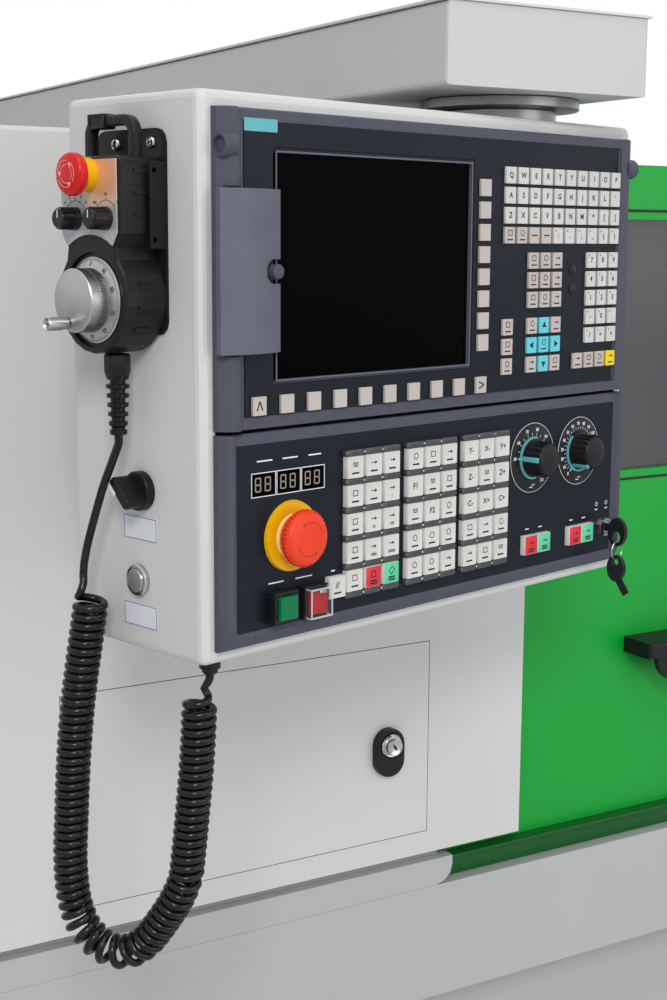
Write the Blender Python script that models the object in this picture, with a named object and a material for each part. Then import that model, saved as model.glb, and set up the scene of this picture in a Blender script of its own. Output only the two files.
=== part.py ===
"""Flat-bed CNC turning lathe with a sliding door, a control pendant on a swivel and a handheld
handwheel unit on a coiled cord.

Metres, +Z up. The origin is on the floor under the middle of the machine. +X runs from the headstock
to the tailstock, and the operator stands at -Y. The pendant's pieces hang on an empty that stands on
the swivel's axis. What is on its front is drawn as (right, up, out), and what is on its left side as
(up, back, out), and both are turned into place.
"""

import math

import bmesh
import bpy
from mathutils import Matrix, Vector

for thing in list(bpy.data.objects):
    bpy.data.objects.remove(thing)

# Fits shared by all pieces
CLEAR = 0.0003
RUNNING_FIT = 0.0008
OVERRUN = 0.005
SINK = 0.0008
MERGE = 0.000001
SMOOTH_ANGLE = math.radians(35)
LARGE_STEPS = 28
ROUND_STEPS = 20
SMALL_STEPS = 12
CORNER_STEPS = 3
ROUND_PROFILE = 0.5

# Machine and pedestal
MACHINE_LENGTH = 2.4
MACHINE_DEPTH = 1.1
SHEET = 0.003
PEDESTAL_END_INSET = 0.05
PEDESTAL_SIDE_INSET = 0.07
PEDESTAL_HEIGHT = 0.565
PEDESTAL_EDGE = 0.012
PEDESTAL_WALL = 0.01
TOE_RECESS = 0.03
TOE_HEIGHT = 0.06

# Chip tray
TRAY_INSET = 0.005
TRAY_END_INSET = 0.01
TRAY_HEIGHT = 0.127
TRAY_WALL = 0.004
TRAY_LEDGE = 0.08

# Plinth strip under the left cover
PLINTH_HEIGHT = 0.03
PLINTH_WIDTH = 0.045
PLINTH_CORNER = 0.02
BAND_HEIGHT = 0.012
BAND_RECESS = 0.012

# Left cover, with its overlap in front of the door
COVER_HEIGHT = 0.731
COVER_EDGE = 0.004
HEAD_LENGTH = 0.705
OVERLAP_LENGTH = 0.09
OVERLAP_DEPTH = 0.014
COVER_FLANGE = 0.03
HATCH_FROM_LEFT = 0.272
HATCH_FROM_WALL = 0.032
HATCH_RISE = 0.025
HATCH_HEIGHT = 0.205
HATCH_GAP = 0.0008
HATCH_RETURN = 0.014
HATCH_SHEET = 0.002
PASSAGE_MARGIN = 0.022

# Lock of the hatch
LOCK_FROM_EDGE = 0.051
LOCK_RISE = 0.104
LOCK_WIDTH = 0.034
LOCK_BELOW = 0.034
LOCK_DEPTH = 0.009
CYLINDER_RADIUS = 0.0125
CYLINDER_DEPTH = 0.018
CYLINDER_SLOT = 0.003
CYLINDER_EDGE = 0.0015

# Door, sill, window and handle
DOOR_SETBACK = 0.02
DOOR_LENGTH = 0.889
DOOR_DEPTH = 0.03
DOOR_DROP = 0.012
DOOR_FOLD = 0.05
DOOR_CORNER = 0.006
DOOR_MARGIN = 0.006
WINDOW_FROM_LEFT = 0.179
WINDOW_LENGTH = 0.63
WINDOW_HEIGHT = 0.275
WINDOW_DROP = 0.058
WINDOW_FRAME = 0.02
WINDOW_DEPTH = 0.008
WINDOW_LAP = 0.01
HANDLE_FROM_LEFT = 0.243
HANDLE_LENGTH = 0.17
HANDLE_BELOW_WINDOW = 0.191
HANDLE_THICKNESS = 0.018
HANDLE_REACH = 0.045
GRIP_INSET = 0.015
GRIP_DROP = 0.03
GRIP_WALL = 0.007
GRIP_LIP_REAR = 0.0105
SILL_HEIGHT = 0.0295
SILL_SHEET = 0.0025
SILL_REAR = 0.05
SILL_END = 0.02

# Right cover and rear guard
RIGHT_COVER_OVERLAP = 0.03
RIGHT_COVER_SETBACK = 0.006
PORTAL_EDGE = 0.05
PORTAL_REAR_EDGE = 0.15
PORTAL_TOP_EDGE = 0.14
GUARD_FROM_REAR = 0.15
GUARD_SLOPE_HEIGHT = 0.12
GUARD_SLOPE_DEPTH = 0.1

# Bed
BED_FROM_LEFT = 0.12
BED_FROM_RIGHT = 0.13
BED_WIDTH = 0.36
BED_HEIGHT = 0.265
BED_AXIS_FROM_FRONT = 0.42
WAY_WIDTH = 0.09
WAY_HEIGHT = 0.045
VEE_HEIGHT = 0.014
VEE_WIDTH = 0.028
WEB_INSET = 0.025
FOOT_HEIGHT = 0.03
CHANNEL_DEPTH = 0.12

# Headstock, spindle and chuck
CENTRE_HEIGHT = 0.22
HEADSTOCK_FROM_LEFT = 0.15
HEADSTOCK_PAST_WALL = 0.035
SHOULDER_RADIUS = 0.17
BEARING_CAP_RADIUS = 0.12
BEARING_CAP_DEPTH = 0.016
SPINDLE_RADIUS = 0.07
SPINDLE_TAIL = 0.06
PULLEY_RADIUS = 0.09
PULLEY_WIDTH = 0.04
NOSE_RADIUS = 0.085
NOSE_LENGTH = 0.014
CHUCK_RADIUS = 0.1
CHUCK_LENGTH = 0.08
CHUCK_BORE = 0.026
CHUCK_STEP = 0.012
CHUCK_EDGE = 0.004
JAW_COUNT = 3
JAW_WIDTH = 0.034
JAW_HEIGHT = 0.036
JAW_STEP = 0.016
JAW_INNER = 0.034
JAW_OUTER = 0.092
JAW_STEP_RADIUS = 0.06

# Saddle, cross slide and turret
SADDLE_OFF_MIDDLE = 0.005
SADDLE_LENGTH = 0.3
SADDLE_THICKNESS = 0.045
SADDLE_OVERHANG = 0.06
APRON_THICKNESS = 0.045
APRON_DROP = 0.12
SLIDE_WIDTH = 0.2
SLIDE_THICKNESS = 0.045
SLIDE_REACH = 0.09
RAIL_WIDTH = 0.12
RAIL_HEIGHT = 0.02
TURRET_SIZE = 0.18
TURRET_BASE = 0.06
TURRET_BASE_RADIUS = 0.085
TURRET_HEIGHT = 0.1
TURRET_SLOT = 0.032
TURRET_SLOT_DEPTH = 0.022
TURRET_SLOT_RISE = 0.034
TURRET_BOSS_RADIUS = 0.035
TURRET_BOSS_HEIGHT = 0.012
TURRET_FROM_FRONT = 0.1
TURRET_EDGE = 0.004

# Tailstock
TAIL_FROM_RIGHT = 0.36
TAIL_LENGTH = 0.28
TAIL_BASE_WIDTH = 0.25
TAIL_BASE_HEIGHT = 0.05
TAIL_RADIUS = 0.075
QUILL_RADIUS = 0.03
QUILL_LENGTH = 0.2
QUILL_SHOWN = 0.02
QUILL_POINT = 0.03
WHEEL_RADIUS = 0.08
WHEEL_RIM = 0.016
WHEEL_DEPTH = 0.02
WHEEL_WEB = 0.006
WHEEL_HUB = 0.02
WHEEL_PEG = 0.008
WHEEL_PEG_LENGTH = 0.05
WHEEL_SHAFT = 0.012
WHEEL_STANDOFF = 0.015

# Arm that carries the pendant
ARM_WIDTH = 0.205
ARM_HEIGHT = 0.064
ARM_FROM_WALL = 0.198
ARM_OVERHANG = 0.255
ARM_LENGTH = 1.285
ARM_EDGE = 0.003
LID_THICKNESS = 0.002
LID_LAP = 0.002
PAD_HEIGHT = 0.027
PAD_LENGTH = 0.35
PAD_INSET = 0.03
SWIVEL_FROM_END = 0.1
SWIVEL_FROM_SIDE = 0.125
COLLAR_RADIUS = 0.0695
COLLAR_HEIGHT = 0.0197
COLLAR_EDGE = 0.001
SPIGOT_RADIUS = 0.03
SPIGOT_HEIGHT = 0.03
REST_SWING = math.radians(14.5)

# Pendant cabinet; the screen unit's top left corner is where places on the front are measured from
AXIS_FROM_SCREEN_LEFT = 0.392
AXIS_BEHIND_FRONT = 0.069
CABINET_BROW = 0.0117
CABINET_MARGIN = 0.0104
CABINET_WIDTH = 0.504
CABINET_DEPTH = 0.15
CABINET_HEIGHT = 0.3997
CABINET_EDGE = 0.006
CABINET_WALL = 0.0125

# Both panels of the front
PANEL_WIDTH = 0.483
PANEL_THICKNESS = 0.009
PANEL_PARTING = 0.003
SCREEN_UNIT_HEIGHT = 0.22
KEY_PANEL_HEIGHT = 0.155

# Screen unit
SCREEN_LEFT = 0.052
SCREEN_TOP = 0.028
SCREEN_WIDTH = 0.212
SCREEN_HEIGHT = 0.159
SCREEN_DEPTH = 0.006
SCREEN_BEVEL = 0.003
GLASS_THICKNESS = 0.003
GROOVE_LEFT = 0.021
GROOVE_RIGHT = 0.465
GROOVE_MARGIN = 0.008
GROOVE_WIDTH = 0.001
GROOVE_DEPTH = 0.0008
COLUMN_WIDTH = 0.02
LOWER_COLUMN_WIDTH = 0.0125
COLUMN_EDGE = 0.0055
COLUMN_CREST = 0.0135
COLUMN_STEPS = 6
COLUMN_TOP = 0.0012
CHAMFER_HEIGHT = 0.008
CHAMFER_DEPTH = 0.0045
KNOB_DROP = 0.0255
KNOB_RADIUS = 0.0085
KNOB_LENGTH = 0.013
KNOB_PROUD = 0.0005
KNOB_SOCKET = 0.006
KNOB_SOCKET_DEPTH = 0.003
CAPTIVE_RADIUS = 0.0052
CAPTIVE_LENGTH = 0.0135
FLAP_OVERHANG = 0.004
FLAP_RIGHT = 0.0525
FLAP_TOP = 0.054
FLAP_HEIGHT = 0.1125
FLAP_EDGE_LEFT = 0.0045
FLAP_EDGE_RIGHT = 0.0035
FLAP_CREST = 0.011
FLAP_WALL = 0.002
FLAP_GAP = 0.0015
NOTCH_RADIUS = 0.0085
NOTCH_FROM_EDGE = 0.0095

# Small keys of the screen unit
KEY_WIDTH = 0.0125
KEY_HEIGHT = 0.013
KEY_RISE = 0.0024
KEY_TAPER = 0.0006
SOFT_COLUMN_X = 0.279
SOFT_COLUMN_TOP = 0.0466
SOFT_COLUMN_PITCH = 0.0176
SOFT_COLUMN_COUNT = 8
SOFT_ROW_DROP = 0.204
SOFT_ROW_LEFT = 0.034
SOFT_ROW_PITCH = 0.02707
SOFT_ROW_COUNT = 10
GRID_LEFT = 0.3105
GRID_PITCH = 0.0163
GRID_COLUMNS = 10
LETTER_TOP = 0.0358
LETTER_PITCH = 0.016
LETTER_ROWS = 4
PAD_TOP = 0.1045
PAD_PITCH = 0.0162
NUMBER_ROWS = 5
EDIT_ROWS = 3
ARROW_TOP = 0.1585
SENSOR_RADIUS = 0.003
SENSOR_X = 0.4
SENSOR_RISE = 0.0006

# Key panel
BIG_KEY_WIDTH = 0.017
BIG_KEY_HEIGHT = 0.0165
BIG_KEY_RISE = 0.005
BLOCK_LEFTS = (0.1287, 0.1965, 0.2638)
BLOCK_PITCH = 0.0203
BLOCK_COLUMNS = 3
BLOCK_ROWS = 5
BLOCK_TOP = 0.0335
BLOCK_ROW_PITCH = 0.0217
LENS_LENGTH = 0.0192
LENS_HEIGHT = 0.0042
LENS_RISE = 0.003
LENS_STEPS = 8
EXTRA_KEY_X = 0.11
LAST_ROW_DROP = 0.1227
PAIR_LEFTS = (0.3459, 0.4093)
PAIR_PITCH = 0.0185
DISPLAY_LEFT = 0.0284
DISPLAY_WIDTH = 0.0223
DISPLAY_HEIGHT = 0.0161
DISPLAY_PITCH = 0.0246
DISPLAY_COUNT = 3
DISPLAY_TOP = 0.0295
DISPLAY_DEPTH = 0.0015
STOP_X = 0.066
STOP_DROP = 0.078
STOP_RING_RADIUS = 0.0265
STOP_RING_THICKNESS = 0.003
STOP_STEM = 0.0122
STOP_ROOT = 0.004
STOP_HEAD = 0.02
STOP_NECK_HEIGHT = 0.0085
STOP_HEAD_HEIGHT = 0.0165
STOP_TOP = 0.0207
STOP_CROWN = 0.016
STOP_SHOULDER = 0.0165
DIAL_PLACES = (0.351, 0.417)
DIAL_DROP = 0.048
DIAL_FLANGE = 0.021
DIAL_FLANGE_HEIGHT = 0.004
DIAL_RADIUS = 0.018
DIAL_HEIGHT = 0.019
DIAL_FLUTES = 12
DIAL_FLUTE_DEPTH = 0.0012
GREEN_X = 0.053
GREEN_DROP = 0.128
GREEN_HOUSING = 0.0115
GREEN_HOUSING_RISE = 0.01
RED_X = 0.085
RED_DROP = 0.129
RED_HOUSING = 0.012
RED_HOUSING_RISE = 0.008
BUTTON_HALF = 0.0085
BUTTON_RISE = 0.0035
BUTTON_ROOT = 0.004
GUARD_HALF = 0.0145
GUARD_RISE = 0.0175
GUARD_WALL = 0.0013
SWITCH_X = 0.456
SWITCH_DROP = 0.121
SWITCH_RADIUS = 0.009
SWITCH_RISE = 0.0055
CORE_RADIUS = 0.006
CORE_RISE = 0.005
BLADE_WIDTH = 0.007
BLADE_THICKNESS = 0.0018
BLADE_ROOT = 0.001
BOW_NEAR = 0.0085
BOW_LENGTH = 0.0187
BOW_HEIGHT = 0.026
BOW_THICKNESS = 0.0045
BOW_DROP = 0.003
BOW_HOLE_HEIGHT = 0.011
BOW_HOLE_LENGTH = 0.009
BOW_RIM = 0.003
RING_INNER = 0.0075
WIRE_RADIUS = 0.0006
RING_SLACK = 0.0006
SPARE_HEIGHT = 0.024
SPARE_LENGTH = 0.018
SPARE_HOLE = 0.007
SPARE_RIM = 0.0025
SPARE_BLADE_LENGTH = 0.02
SPARE_TILT = math.radians(35)

# Left side of the cabinet
BRACKET_TOP = 0.013
BRACKET_HEIGHT = 0.142
BRACKET_FRONT = 0.033
BRACKET_WIDTH = 0.078
BRACKET_SHEET = 0.002
BRACKET_CORNER = 0.01
FLANGE_TOP = 0.034
FLANGE_HEIGHT = 0.063
FLANGE_REACH = 0.0155
FLANGE_HOLE = 0.002
FLANGE_HOLE_INSET = 0.008
SELECTOR_Y = 0.066
SELECTOR_DROP = 0.268
SELECTOR_RADIUS = 0.0145
SELECTOR_SKIRT = 0.007
SELECTOR_BAR_LENGTH = 0.027
SELECTOR_BAR_WIDTH = 0.0085
SELECTOR_REACH = 0.022
SELECTOR_TURN = math.radians(45)
RESET_Y = 0.071
RESET_DROP = 0.335
BEZEL_RADIUS = 0.012
BEZEL_RISE = 0.004
RESET_RADIUS = 0.0088
RESET_ROOT = 0.0025
RESET_RISE = 0.0052
GLAND_X = 0.011
GLAND_Y = 0.018
GLAND_RADIUS = 0.008
GLAND_SLEEVE = 0.006
GLAND_SLEEVE_LENGTH = 0.01
GLAND_NUT = 0.007
GLAND_LENGTH = 0.012

# Handheld unit, in its bracket
HAND_GAP = 0.0026
HAND_FRONT = 0.0376
HAND_MIDDLE_Y = 0.072
HAND_HALF_WIDTH = 0.034
HAND_TOP = 0.0325
HAND_SHOULDER = 0.0845
HAND_WAIST = 0.0945
HAND_WAIST_HALF = 0.0275
HAND_ROUND = 0.039
HAND_ROUND_DROP = 0.129
HAND_CORNER = 0.006
HAND_EDGE = 0.0025
HAND_ROUND_START = math.radians(48)
HAND_ROUND_STEPS = 16
DISH_RADIUS = 0.033
DISH_DEPTH = 0.0025
GROOVE_DROPS = (0.0427, 0.0574, 0.0723, 0.1214, 0.1352, 0.1503)
RIB_LENGTH = 0.012
RIB_HEIGHT = 0.0022
RIB_RISE = 0.001
RIB_OUT = 0.014
PLATE_THICKNESS = 0.0008
PLATE_INSET = 0.0015
PLATE_ARC = 0.045
PLATE_ARC_STEPS = 8
GRIP_HALF_WIDTH = 0.031
GRIP_OPENING_HALF = 0.0175
GRIP_HEIGHT = 0.0285
GRIP_BAR = 0.009
GRIP_OUT = 0.007
GRIP_DEPTH = 0.014
GRIP_CORNER = 0.012
HAND_STOP_Y = 0.0712
HAND_STOP_DROP = 0.0452
SLEEVE_RADIUS = 0.0107
SLEEVE_ROOT = 0.004
SLEEVE_RISE = 0.0095
HAND_STOP_HEAD = 0.0146
HAND_STOP_CROWN = 0.0124
HAND_STOP_RISE = 0.018
HAND_STOP_PRESS = 0.0032
KNOB_PLACES = (0.087, 0.052)
SMALL_KNOB_DROP = 0.0747
SMALL_KNOB_RADIUS = 0.008
SMALL_KNOB_TOP_RADIUS = 0.0072
SMALL_KNOB_LENGTH = 0.0155
WHEEL_Y = 0.071
WHEEL_DROP = 0.1305
SCALE_RADIUS = 0.0299
SCALE_RISE = 0.0028
DRUM_RADIUS = 0.022
DRUM_RISE = 0.0195
DRUM_EDGE = 0.0012
CRANK_DOWN = 0.0158
CRANK_BACK = 0.0068
CRANK_RADIUS = 0.00475
CRANK_LENGTH = 0.017
HAND_GLAND_OUT = 0.0186
HAND_GLAND_Y = 0.069
HAND_GLAND_NUT = 0.01
HAND_GLAND_NUT_LENGTH = 0.018
BOOT_RADIUS = 0.0085
BOOT_ROOT = 0.0062
BOOT_RIBS = 5
BOOT_RIB_PITCH = 0.0066
BOOT_RIB_SHARES = (1 / 3, 1 / 2, 1, 7 / 6)
BOOT_TAIL = 0.0033
BOOT_COLLAR = 0.0063
BOOT_COLLAR_LENGTH = 0.0042

# Cord, whose route is a list chosen by hand, from the screen unit's top left corner
CORD_RADIUS = 0.0031
COIL_RADIUS = 0.0135
CORD_STEP_DIAMETERS = 2.5
COIL_STEP = 0.02
CORD_FACES = 3
UPPER_ROUTE = (
    (-0.029, 0.069, -0.2268), (-0.029, 0.069, -0.232), (-0.0377, 0.0636, -0.257),
    (-0.0371, 0.0742, -0.2871),
    (-0.0348, 0.0874, -0.317), (-0.0331, 0.0983, -0.34055), (-0.03368, 0.09933, -0.3477),
)
COIL_ROUTE = (
    (-0.0337, 0.0994, -0.3482), (-0.039, 0.1089, -0.4177), (-0.0411, 0.1125, -0.4511),
    (-0.0425, 0.1151, -0.4849), (-0.0435, 0.1169, -0.5189), (-0.0444, 0.1184, -0.5532),
    (-0.0438, 0.1174, -0.579), (-0.0421, 0.1144, -0.5959), (-0.0393, 0.1094, -0.6091),
    (-0.0351, 0.1019, -0.6185), (-0.03, 0.0929, -0.6242), (-0.0248, 0.0837, -0.6256),
    (-0.0196, 0.0745, -0.6226), (-0.0148, 0.066, -0.6153), (-0.0109, 0.059, -0.6057),
    (-0.0065, 0.0512, -0.5926), (-0.0021, 0.0435, -0.578), (0.0015, 0.0372, -0.5603),
    (0.0027, 0.035, -0.5432), (0.0045, 0.0318, -0.5094), (0.0061, 0.029, -0.4761),
    (0.0072, 0.027, -0.4432), (0.0079, 0.0258, -0.4155),
)
LOWER_ROUTE = (
    (0.00792, 0.02576, -0.415), (0.00803, 0.02557, -0.4108), (0.0109, 0.0182, -0.4047),
    (0.011, 0.018, -0.4004),
)

# Levels and places that follow from the sizes
tray_top = PEDESTAL_HEIGHT + TRAY_HEIGHT
tray_floor = PEDESTAL_HEIGHT + TRAY_WALL
front_y = -MACHINE_DEPTH / 2
rear_y = MACHINE_DEPTH / 2
left_x = -MACHINE_LENGTH / 2
right_x = MACHINE_LENGTH / 2
pedestal_end = MACHINE_LENGTH / 2 - PEDESTAL_END_INSET
pedestal_side = MACHINE_DEPTH / 2 - PEDESTAL_SIDE_INSET
cover_bottom = tray_top + PLINTH_HEIGHT + BAND_HEIGHT
cover_top = cover_bottom + COVER_HEIGHT
wall_x = left_x + HEAD_LENGTH
hatch_length = HEAD_LENGTH - HATCH_FROM_LEFT - HATCH_FROM_WALL
door_y = front_y + DOOR_SETBACK
door_left = wall_x + DOOR_MARGIN
door_right = door_left + DOOR_LENGTH
sill_top = tray_top + SILL_HEIGHT
door_top = cover_top - DOOR_DROP
guard_left = door_right - RIGHT_COVER_OVERLAP
bed_top = tray_floor + BED_HEIGHT
axis_y = front_y + BED_AXIS_FROM_FRONT
axis_z = bed_top + CENTRE_HEIGHT
bed_left = left_x + BED_FROM_LEFT
bed_right = right_x - BED_FROM_RIGHT
bed_front = axis_y - BED_WIDTH / 2
bed_back = axis_y + BED_WIDTH / 2
head_left = left_x + HEADSTOCK_FROM_LEFT
head_right = wall_x + HEADSTOCK_PAST_WALL
chuck_left = head_right + BEARING_CAP_DEPTH + NOSE_LENGTH
tail_left = right_x - TAIL_FROM_RIGHT - TAIL_LENGTH
saddle_left = (chuck_left + tail_left - SADDLE_LENGTH) / 2 + SADDLE_OFF_MIDDLE
slide_left = saddle_left + (SADDLE_LENGTH - SLIDE_WIDTH) / 2
slide_bottom = bed_top + SADDLE_THICKNESS + RAIL_HEIGHT
slide_top = slide_bottom + SLIDE_THICKNESS
slide_front = bed_front - SADDLE_OVERHANG - SLIDE_REACH / 2
turret_bottom = slide_top + TURRET_BASE
arm_left = wall_x - ARM_FROM_WALL
arm_front = front_y - ARM_OVERHANG
arm_bottom = cover_top + PAD_HEIGHT
swivel_x = arm_left + SWIVEL_FROM_SIDE
swivel_y = arm_front + SWIVEL_FROM_END
screen_top_z = arm_bottom - COLLAR_HEIGHT - CABINET_BROW - 2 * CLEAR
cabinet_bottom = CABINET_BROW - CABINET_HEIGHT
key_panel_top = -SCREEN_UNIT_HEIGHT - PANEL_PARTING
plate_front = HAND_FRONT + PLATE_THICKNESS + CLEAR

ORIGIN = (0, 0, 0)
FACE_FRONT = (math.radians(90), 0, 0)
FACE_SIDE = (0, math.radians(-90), 0)
FACE_RIGHT = (0, math.radians(90), 0)
FACE_DOWN = (math.radians(180), 0, 0)

FINISHES = {}


def add_finish(name, colour, roughness, metallic=0.0):
    """Make one Principled material."""
    made = bpy.data.materials.new(name)
    made.use_nodes = True
    shader = made.node_tree.nodes["Principled BSDF"]
    shader.inputs["Base Color"].default_value = (*colour, 1.0)
    shader.inputs["Roughness"].default_value = roughness
    shader.inputs["Metallic"].default_value = metallic
    FINISHES[name] = made


add_finish("light_paint", (0.62, 0.61, 0.58), 0.45)
add_finish("grey_paint", (0.42, 0.42, 0.41), 0.5)
add_finish("green_paint", (0.02, 0.36, 0.06), 0.35)
add_finish("cast_iron", (0.22, 0.23, 0.24), 0.6)
add_finish("steel", (0.6, 0.6, 0.6), 0.3, 1.0)
add_finish("chrome", (0.8, 0.8, 0.8), 0.12, 1.0)
add_finish("aluminium", (0.7, 0.7, 0.71), 0.35, 1.0)
add_finish("charcoal", (0.05, 0.055, 0.065), 0.5)
add_finish("black_plastic", (0.012, 0.012, 0.013), 0.4)
add_finish("red_plastic", (0.7, 0.03, 0.02), 0.35)
add_finish("yellow_plastic", (0.85, 0.5, 0.02), 0.4)
add_finish("green_plastic", (0.0, 0.2, 0.06), 0.3)
add_finish("black_glass", (0.005, 0.005, 0.006), 0.06)
add_finish("clear_glass", (0.3, 0.34, 0.33), 0.05)


def named_mesh(name, shape):
    """Turn a bmesh into a mesh whose faces point out."""
    bmesh.ops.recalc_face_normals(shape, faces=shape.faces)
    mesh = bpy.data.meshes.new(name)
    shape.to_mesh(mesh)
    shape.free()
    return mesh


def piece(name, shape, finish, parent=None, at=ORIGIN, turn=ORIGIN):
    """Make one sub-part of its own name and material."""
    mesh = named_mesh(name, shape)
    mesh.shade_smooth()
    mesh.set_sharp_from_angle(angle=SMOOTH_ANGLE)
    mesh.materials.append(FINISHES[finish])
    made = bpy.data.objects.new(name, mesh)
    bpy.context.scene.collection.objects.link(made)
    made.parent = parent
    made.location = at
    made.rotation_euler = turn
    return made


def combine(target, shape, operation):
    """Add a Boolean whose tool is drawn in the target's own axes."""
    tool = bpy.data.objects.new(target.name + "_tool", named_mesh(target.name + "_tool", shape))
    bpy.context.scene.collection.objects.link(tool)
    tool.parent = target.parent
    tool.location = target.location
    tool.rotation_euler = target.rotation_euler
    tool.hide_render = True
    tool.display_type = "WIRE"
    modifier = target.modifiers.new(operation.title(), "BOOLEAN")
    modifier.operation = operation
    modifier.object = tool


def cut(target, shape):
    combine(target, shape, "DIFFERENCE")


def fuse(target, shape):
    combine(target, shape, "UNION")


def together(shapes):
    """Gather shapes that don't touch into one bmesh."""
    whole = bmesh.new()
    for shape in shapes:
        mesh = named_mesh("gathered", shape)
        whole.from_mesh(mesh)
        bpy.data.meshes.remove(mesh)
    return whole


def block(low, high):
    """A box between two corners."""
    shape = bmesh.new()
    bmesh.ops.create_cube(shape, size=1)
    low, high = Vector(low), Vector(high)
    bmesh.ops.scale(shape, verts=shape.verts, vec=high - low)
    bmesh.ops.translate(shape, verts=shape.verts, vec=(low + high) / 2)
    return shape


def prism(outline, axis, start, end):
    """Extrude an outline along X, Y or Z. Its two numbers are the other two axes, in order."""
    def spot(a, b, along):
        place = [a, b]
        place.insert("xyz".index(axis), along)
        return place

    shape = bmesh.new()
    face = shape.faces.new([shape.verts.new(spot(a, b, start)) for a, b in outline])
    raised = bmesh.ops.extrude_face_region(shape, geom=[face])["geom"]
    moved = [item for item in raised if isinstance(item, bmesh.types.BMVert)]
    bmesh.ops.translate(shape, verts=moved, vec=spot(0, 0, end - start))
    return shape


def turned(profile, steps, closed=False):
    """Spin a profile of (radius, height) about Z. An open profile starts and ends on the axis."""
    shape = bmesh.new()
    verts = [shape.verts.new((radius, 0, height)) for radius, height in profile]
    following = verts[1:] + verts[:1] if closed else verts[1:]
    edges = [shape.edges.new(pair) for pair in zip(verts, following)]
    bmesh.ops.spin(shape, geom=verts + edges, cent=ORIGIN, axis=(0, 0, 1), angle=math.tau, steps=steps,
                   use_merge=True)
    bmesh.ops.remove_doubles(shape, verts=shape.verts, dist=MERGE)
    return shape


def rotated(shape, axis, angle, centre=ORIGIN):
    """Turn a shape about X, Y or Z through a point."""
    bmesh.ops.rotate(shape, verts=shape.verts, cent=centre, matrix=Matrix.Rotation(angle, 3, axis))
    return shape


def shifted(shape, offset):
    bmesh.ops.translate(shape, verts=shape.verts, vec=offset)
    return shape


def soften(shape, width, steps, chosen):
    """Bevel the edges for which chosen(first corner, second corner) is true."""
    edges = [edge for edge in shape.edges if chosen(edge.verts[0].co, edge.verts[1].co)]
    bmesh.ops.bevel(shape, geom=edges, offset=width, segments=steps, profile=ROUND_PROFILE, affect="EDGES")
    return shape


def along(axis):
    """Say which edges run along an axis."""
    others = ["xyz".index(other) for other in "xyz".replace(axis, "")]
    return lambda a, b: all(abs(a[other] - b[other]) < MERGE for other in others)


def at_level(level, index=2):
    """Say which edges lie at one level."""
    return lambda a, b: abs(a[index] - level) < MERGE and abs(b[index] - level) < MERGE


def arc(centre, radius, start, end, steps):
    """Points on an arc, both ends among them."""
    angles = [start + (end - start) * step / steps for step in range(steps + 1)]
    return [(centre[0] + radius * math.cos(a), centre[1] + radius * math.sin(a)) for a in angles]


def rounded_rectangle(low, high, radius, steps=CORNER_STEPS):
    """An outline with four round corners."""
    corners = ((high[0], high[1], 0), (low[0], high[1], 90), (low[0], low[1], 180), (high[0], low[1], 270))
    points = []
    for x, y, turn in corners:
        centre = (x - math.copysign(radius, x - low[0] or -1), y - math.copysign(radius, y - low[1] or -1))
        points += arc(centre, radius, math.radians(turn), math.radians(turn + 90), steps)
    return points


def ellipse(centre, half_width, half_height, steps):
    turns = [math.tau * step / steps for step in range(steps)]
    return [(centre[0] + half_width * math.cos(t), centre[1] + half_height * math.sin(t)) for t in turns]


def ring_prism(low, high, width, bottom, top):
    """A rectangular frame, as wide as width, between two heights."""
    shape = bmesh.new()
    loops = []
    for inset in (0, width):
        corners = ((low[0] + inset, low[1] + inset), (high[0] - inset, low[1] + inset),
                   (high[0] - inset, high[1] - inset), (low[0] + inset, high[1] - inset))
        loops += [[shape.verts.new((x, y, z)) for x, y in corners] for z in (bottom, top)]
    outer_low, outer_high, inner_low, inner_high = loops
    for a, b in ((outer_low, outer_high), (outer_high, inner_high), (inner_high, inner_low),
                 (inner_low, outer_low)):
        for index in range(len(a)):
            after = (index + 1) % len(a)
            shape.faces.new((a[index], a[after], b[after], b[index]))
    return shape


def tapered(low, high, taper):
    """A box whose top is smaller on each side by the taper."""
    shape = block(low, high)
    middle = (Vector(low) + Vector(high)) / 2
    for vert in shape.verts:
        if vert.co.z > middle.z:
            vert.co.x -= math.copysign(taper, vert.co.x - middle.x)
            vert.co.y -= math.copysign(taper, vert.co.y - middle.y)
    return shape


def empty(name, at, turn=ORIGIN):
    made = bpy.data.objects.new(name, None)
    bpy.context.scene.collection.objects.link(made)
    made.location = at
    made.rotation_euler = turn
    return made


swivel = empty("swivel_axis", (swivel_x, swivel_y, screen_top_z), (0, 0, REST_SWING))


def on_pendant(x, y, z):
    """A place counted from the screen unit's top left corner, seen from the swivel's axis."""
    return Vector((x - AXIS_FROM_SCREEN_LEFT, y - AXIS_BEHIND_FRONT, z))


def on_front(x, drop, out=0):
    return on_pendant(x, -out, -drop)


def on_side(back, drop, out=0):
    return on_pendant(-CABINET_MARGIN - out, back, -drop)


# Base and covers
def make_pedestal():
    end, half = pedestal_end, pedestal_side
    toe = half - TOE_RECESS
    top = PEDESTAL_HEIGHT - CLEAR
    slope = TOE_HEIGHT + TOE_RECESS
    outline = [(-toe, 0), (toe, 0), (toe, TOE_HEIGHT), (half, slope), (half, top), (-half, top),
               (-half, slope), (-toe, TOE_HEIGHT)]
    shape = prism(outline, "x", -end, end)
    soften(shape, PEDESTAL_EDGE, 2, lambda a, b: abs(abs(a.x) - end) < MERGE and abs(a.x - b.x) < MERGE
           and abs(abs(a.y) - half) < MERGE and abs(abs(b.y) - half) < MERGE and abs(a.y - b.y) < MERGE)
    pedestal = piece("pedestal", shape, "grey_paint")
    inner_end, inner = end - PEDESTAL_WALL, toe - PEDESTAL_WALL
    cut(pedestal, block((-inner_end, -inner, PEDESTAL_WALL), (inner_end, inner, top + OVERRUN)))


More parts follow.
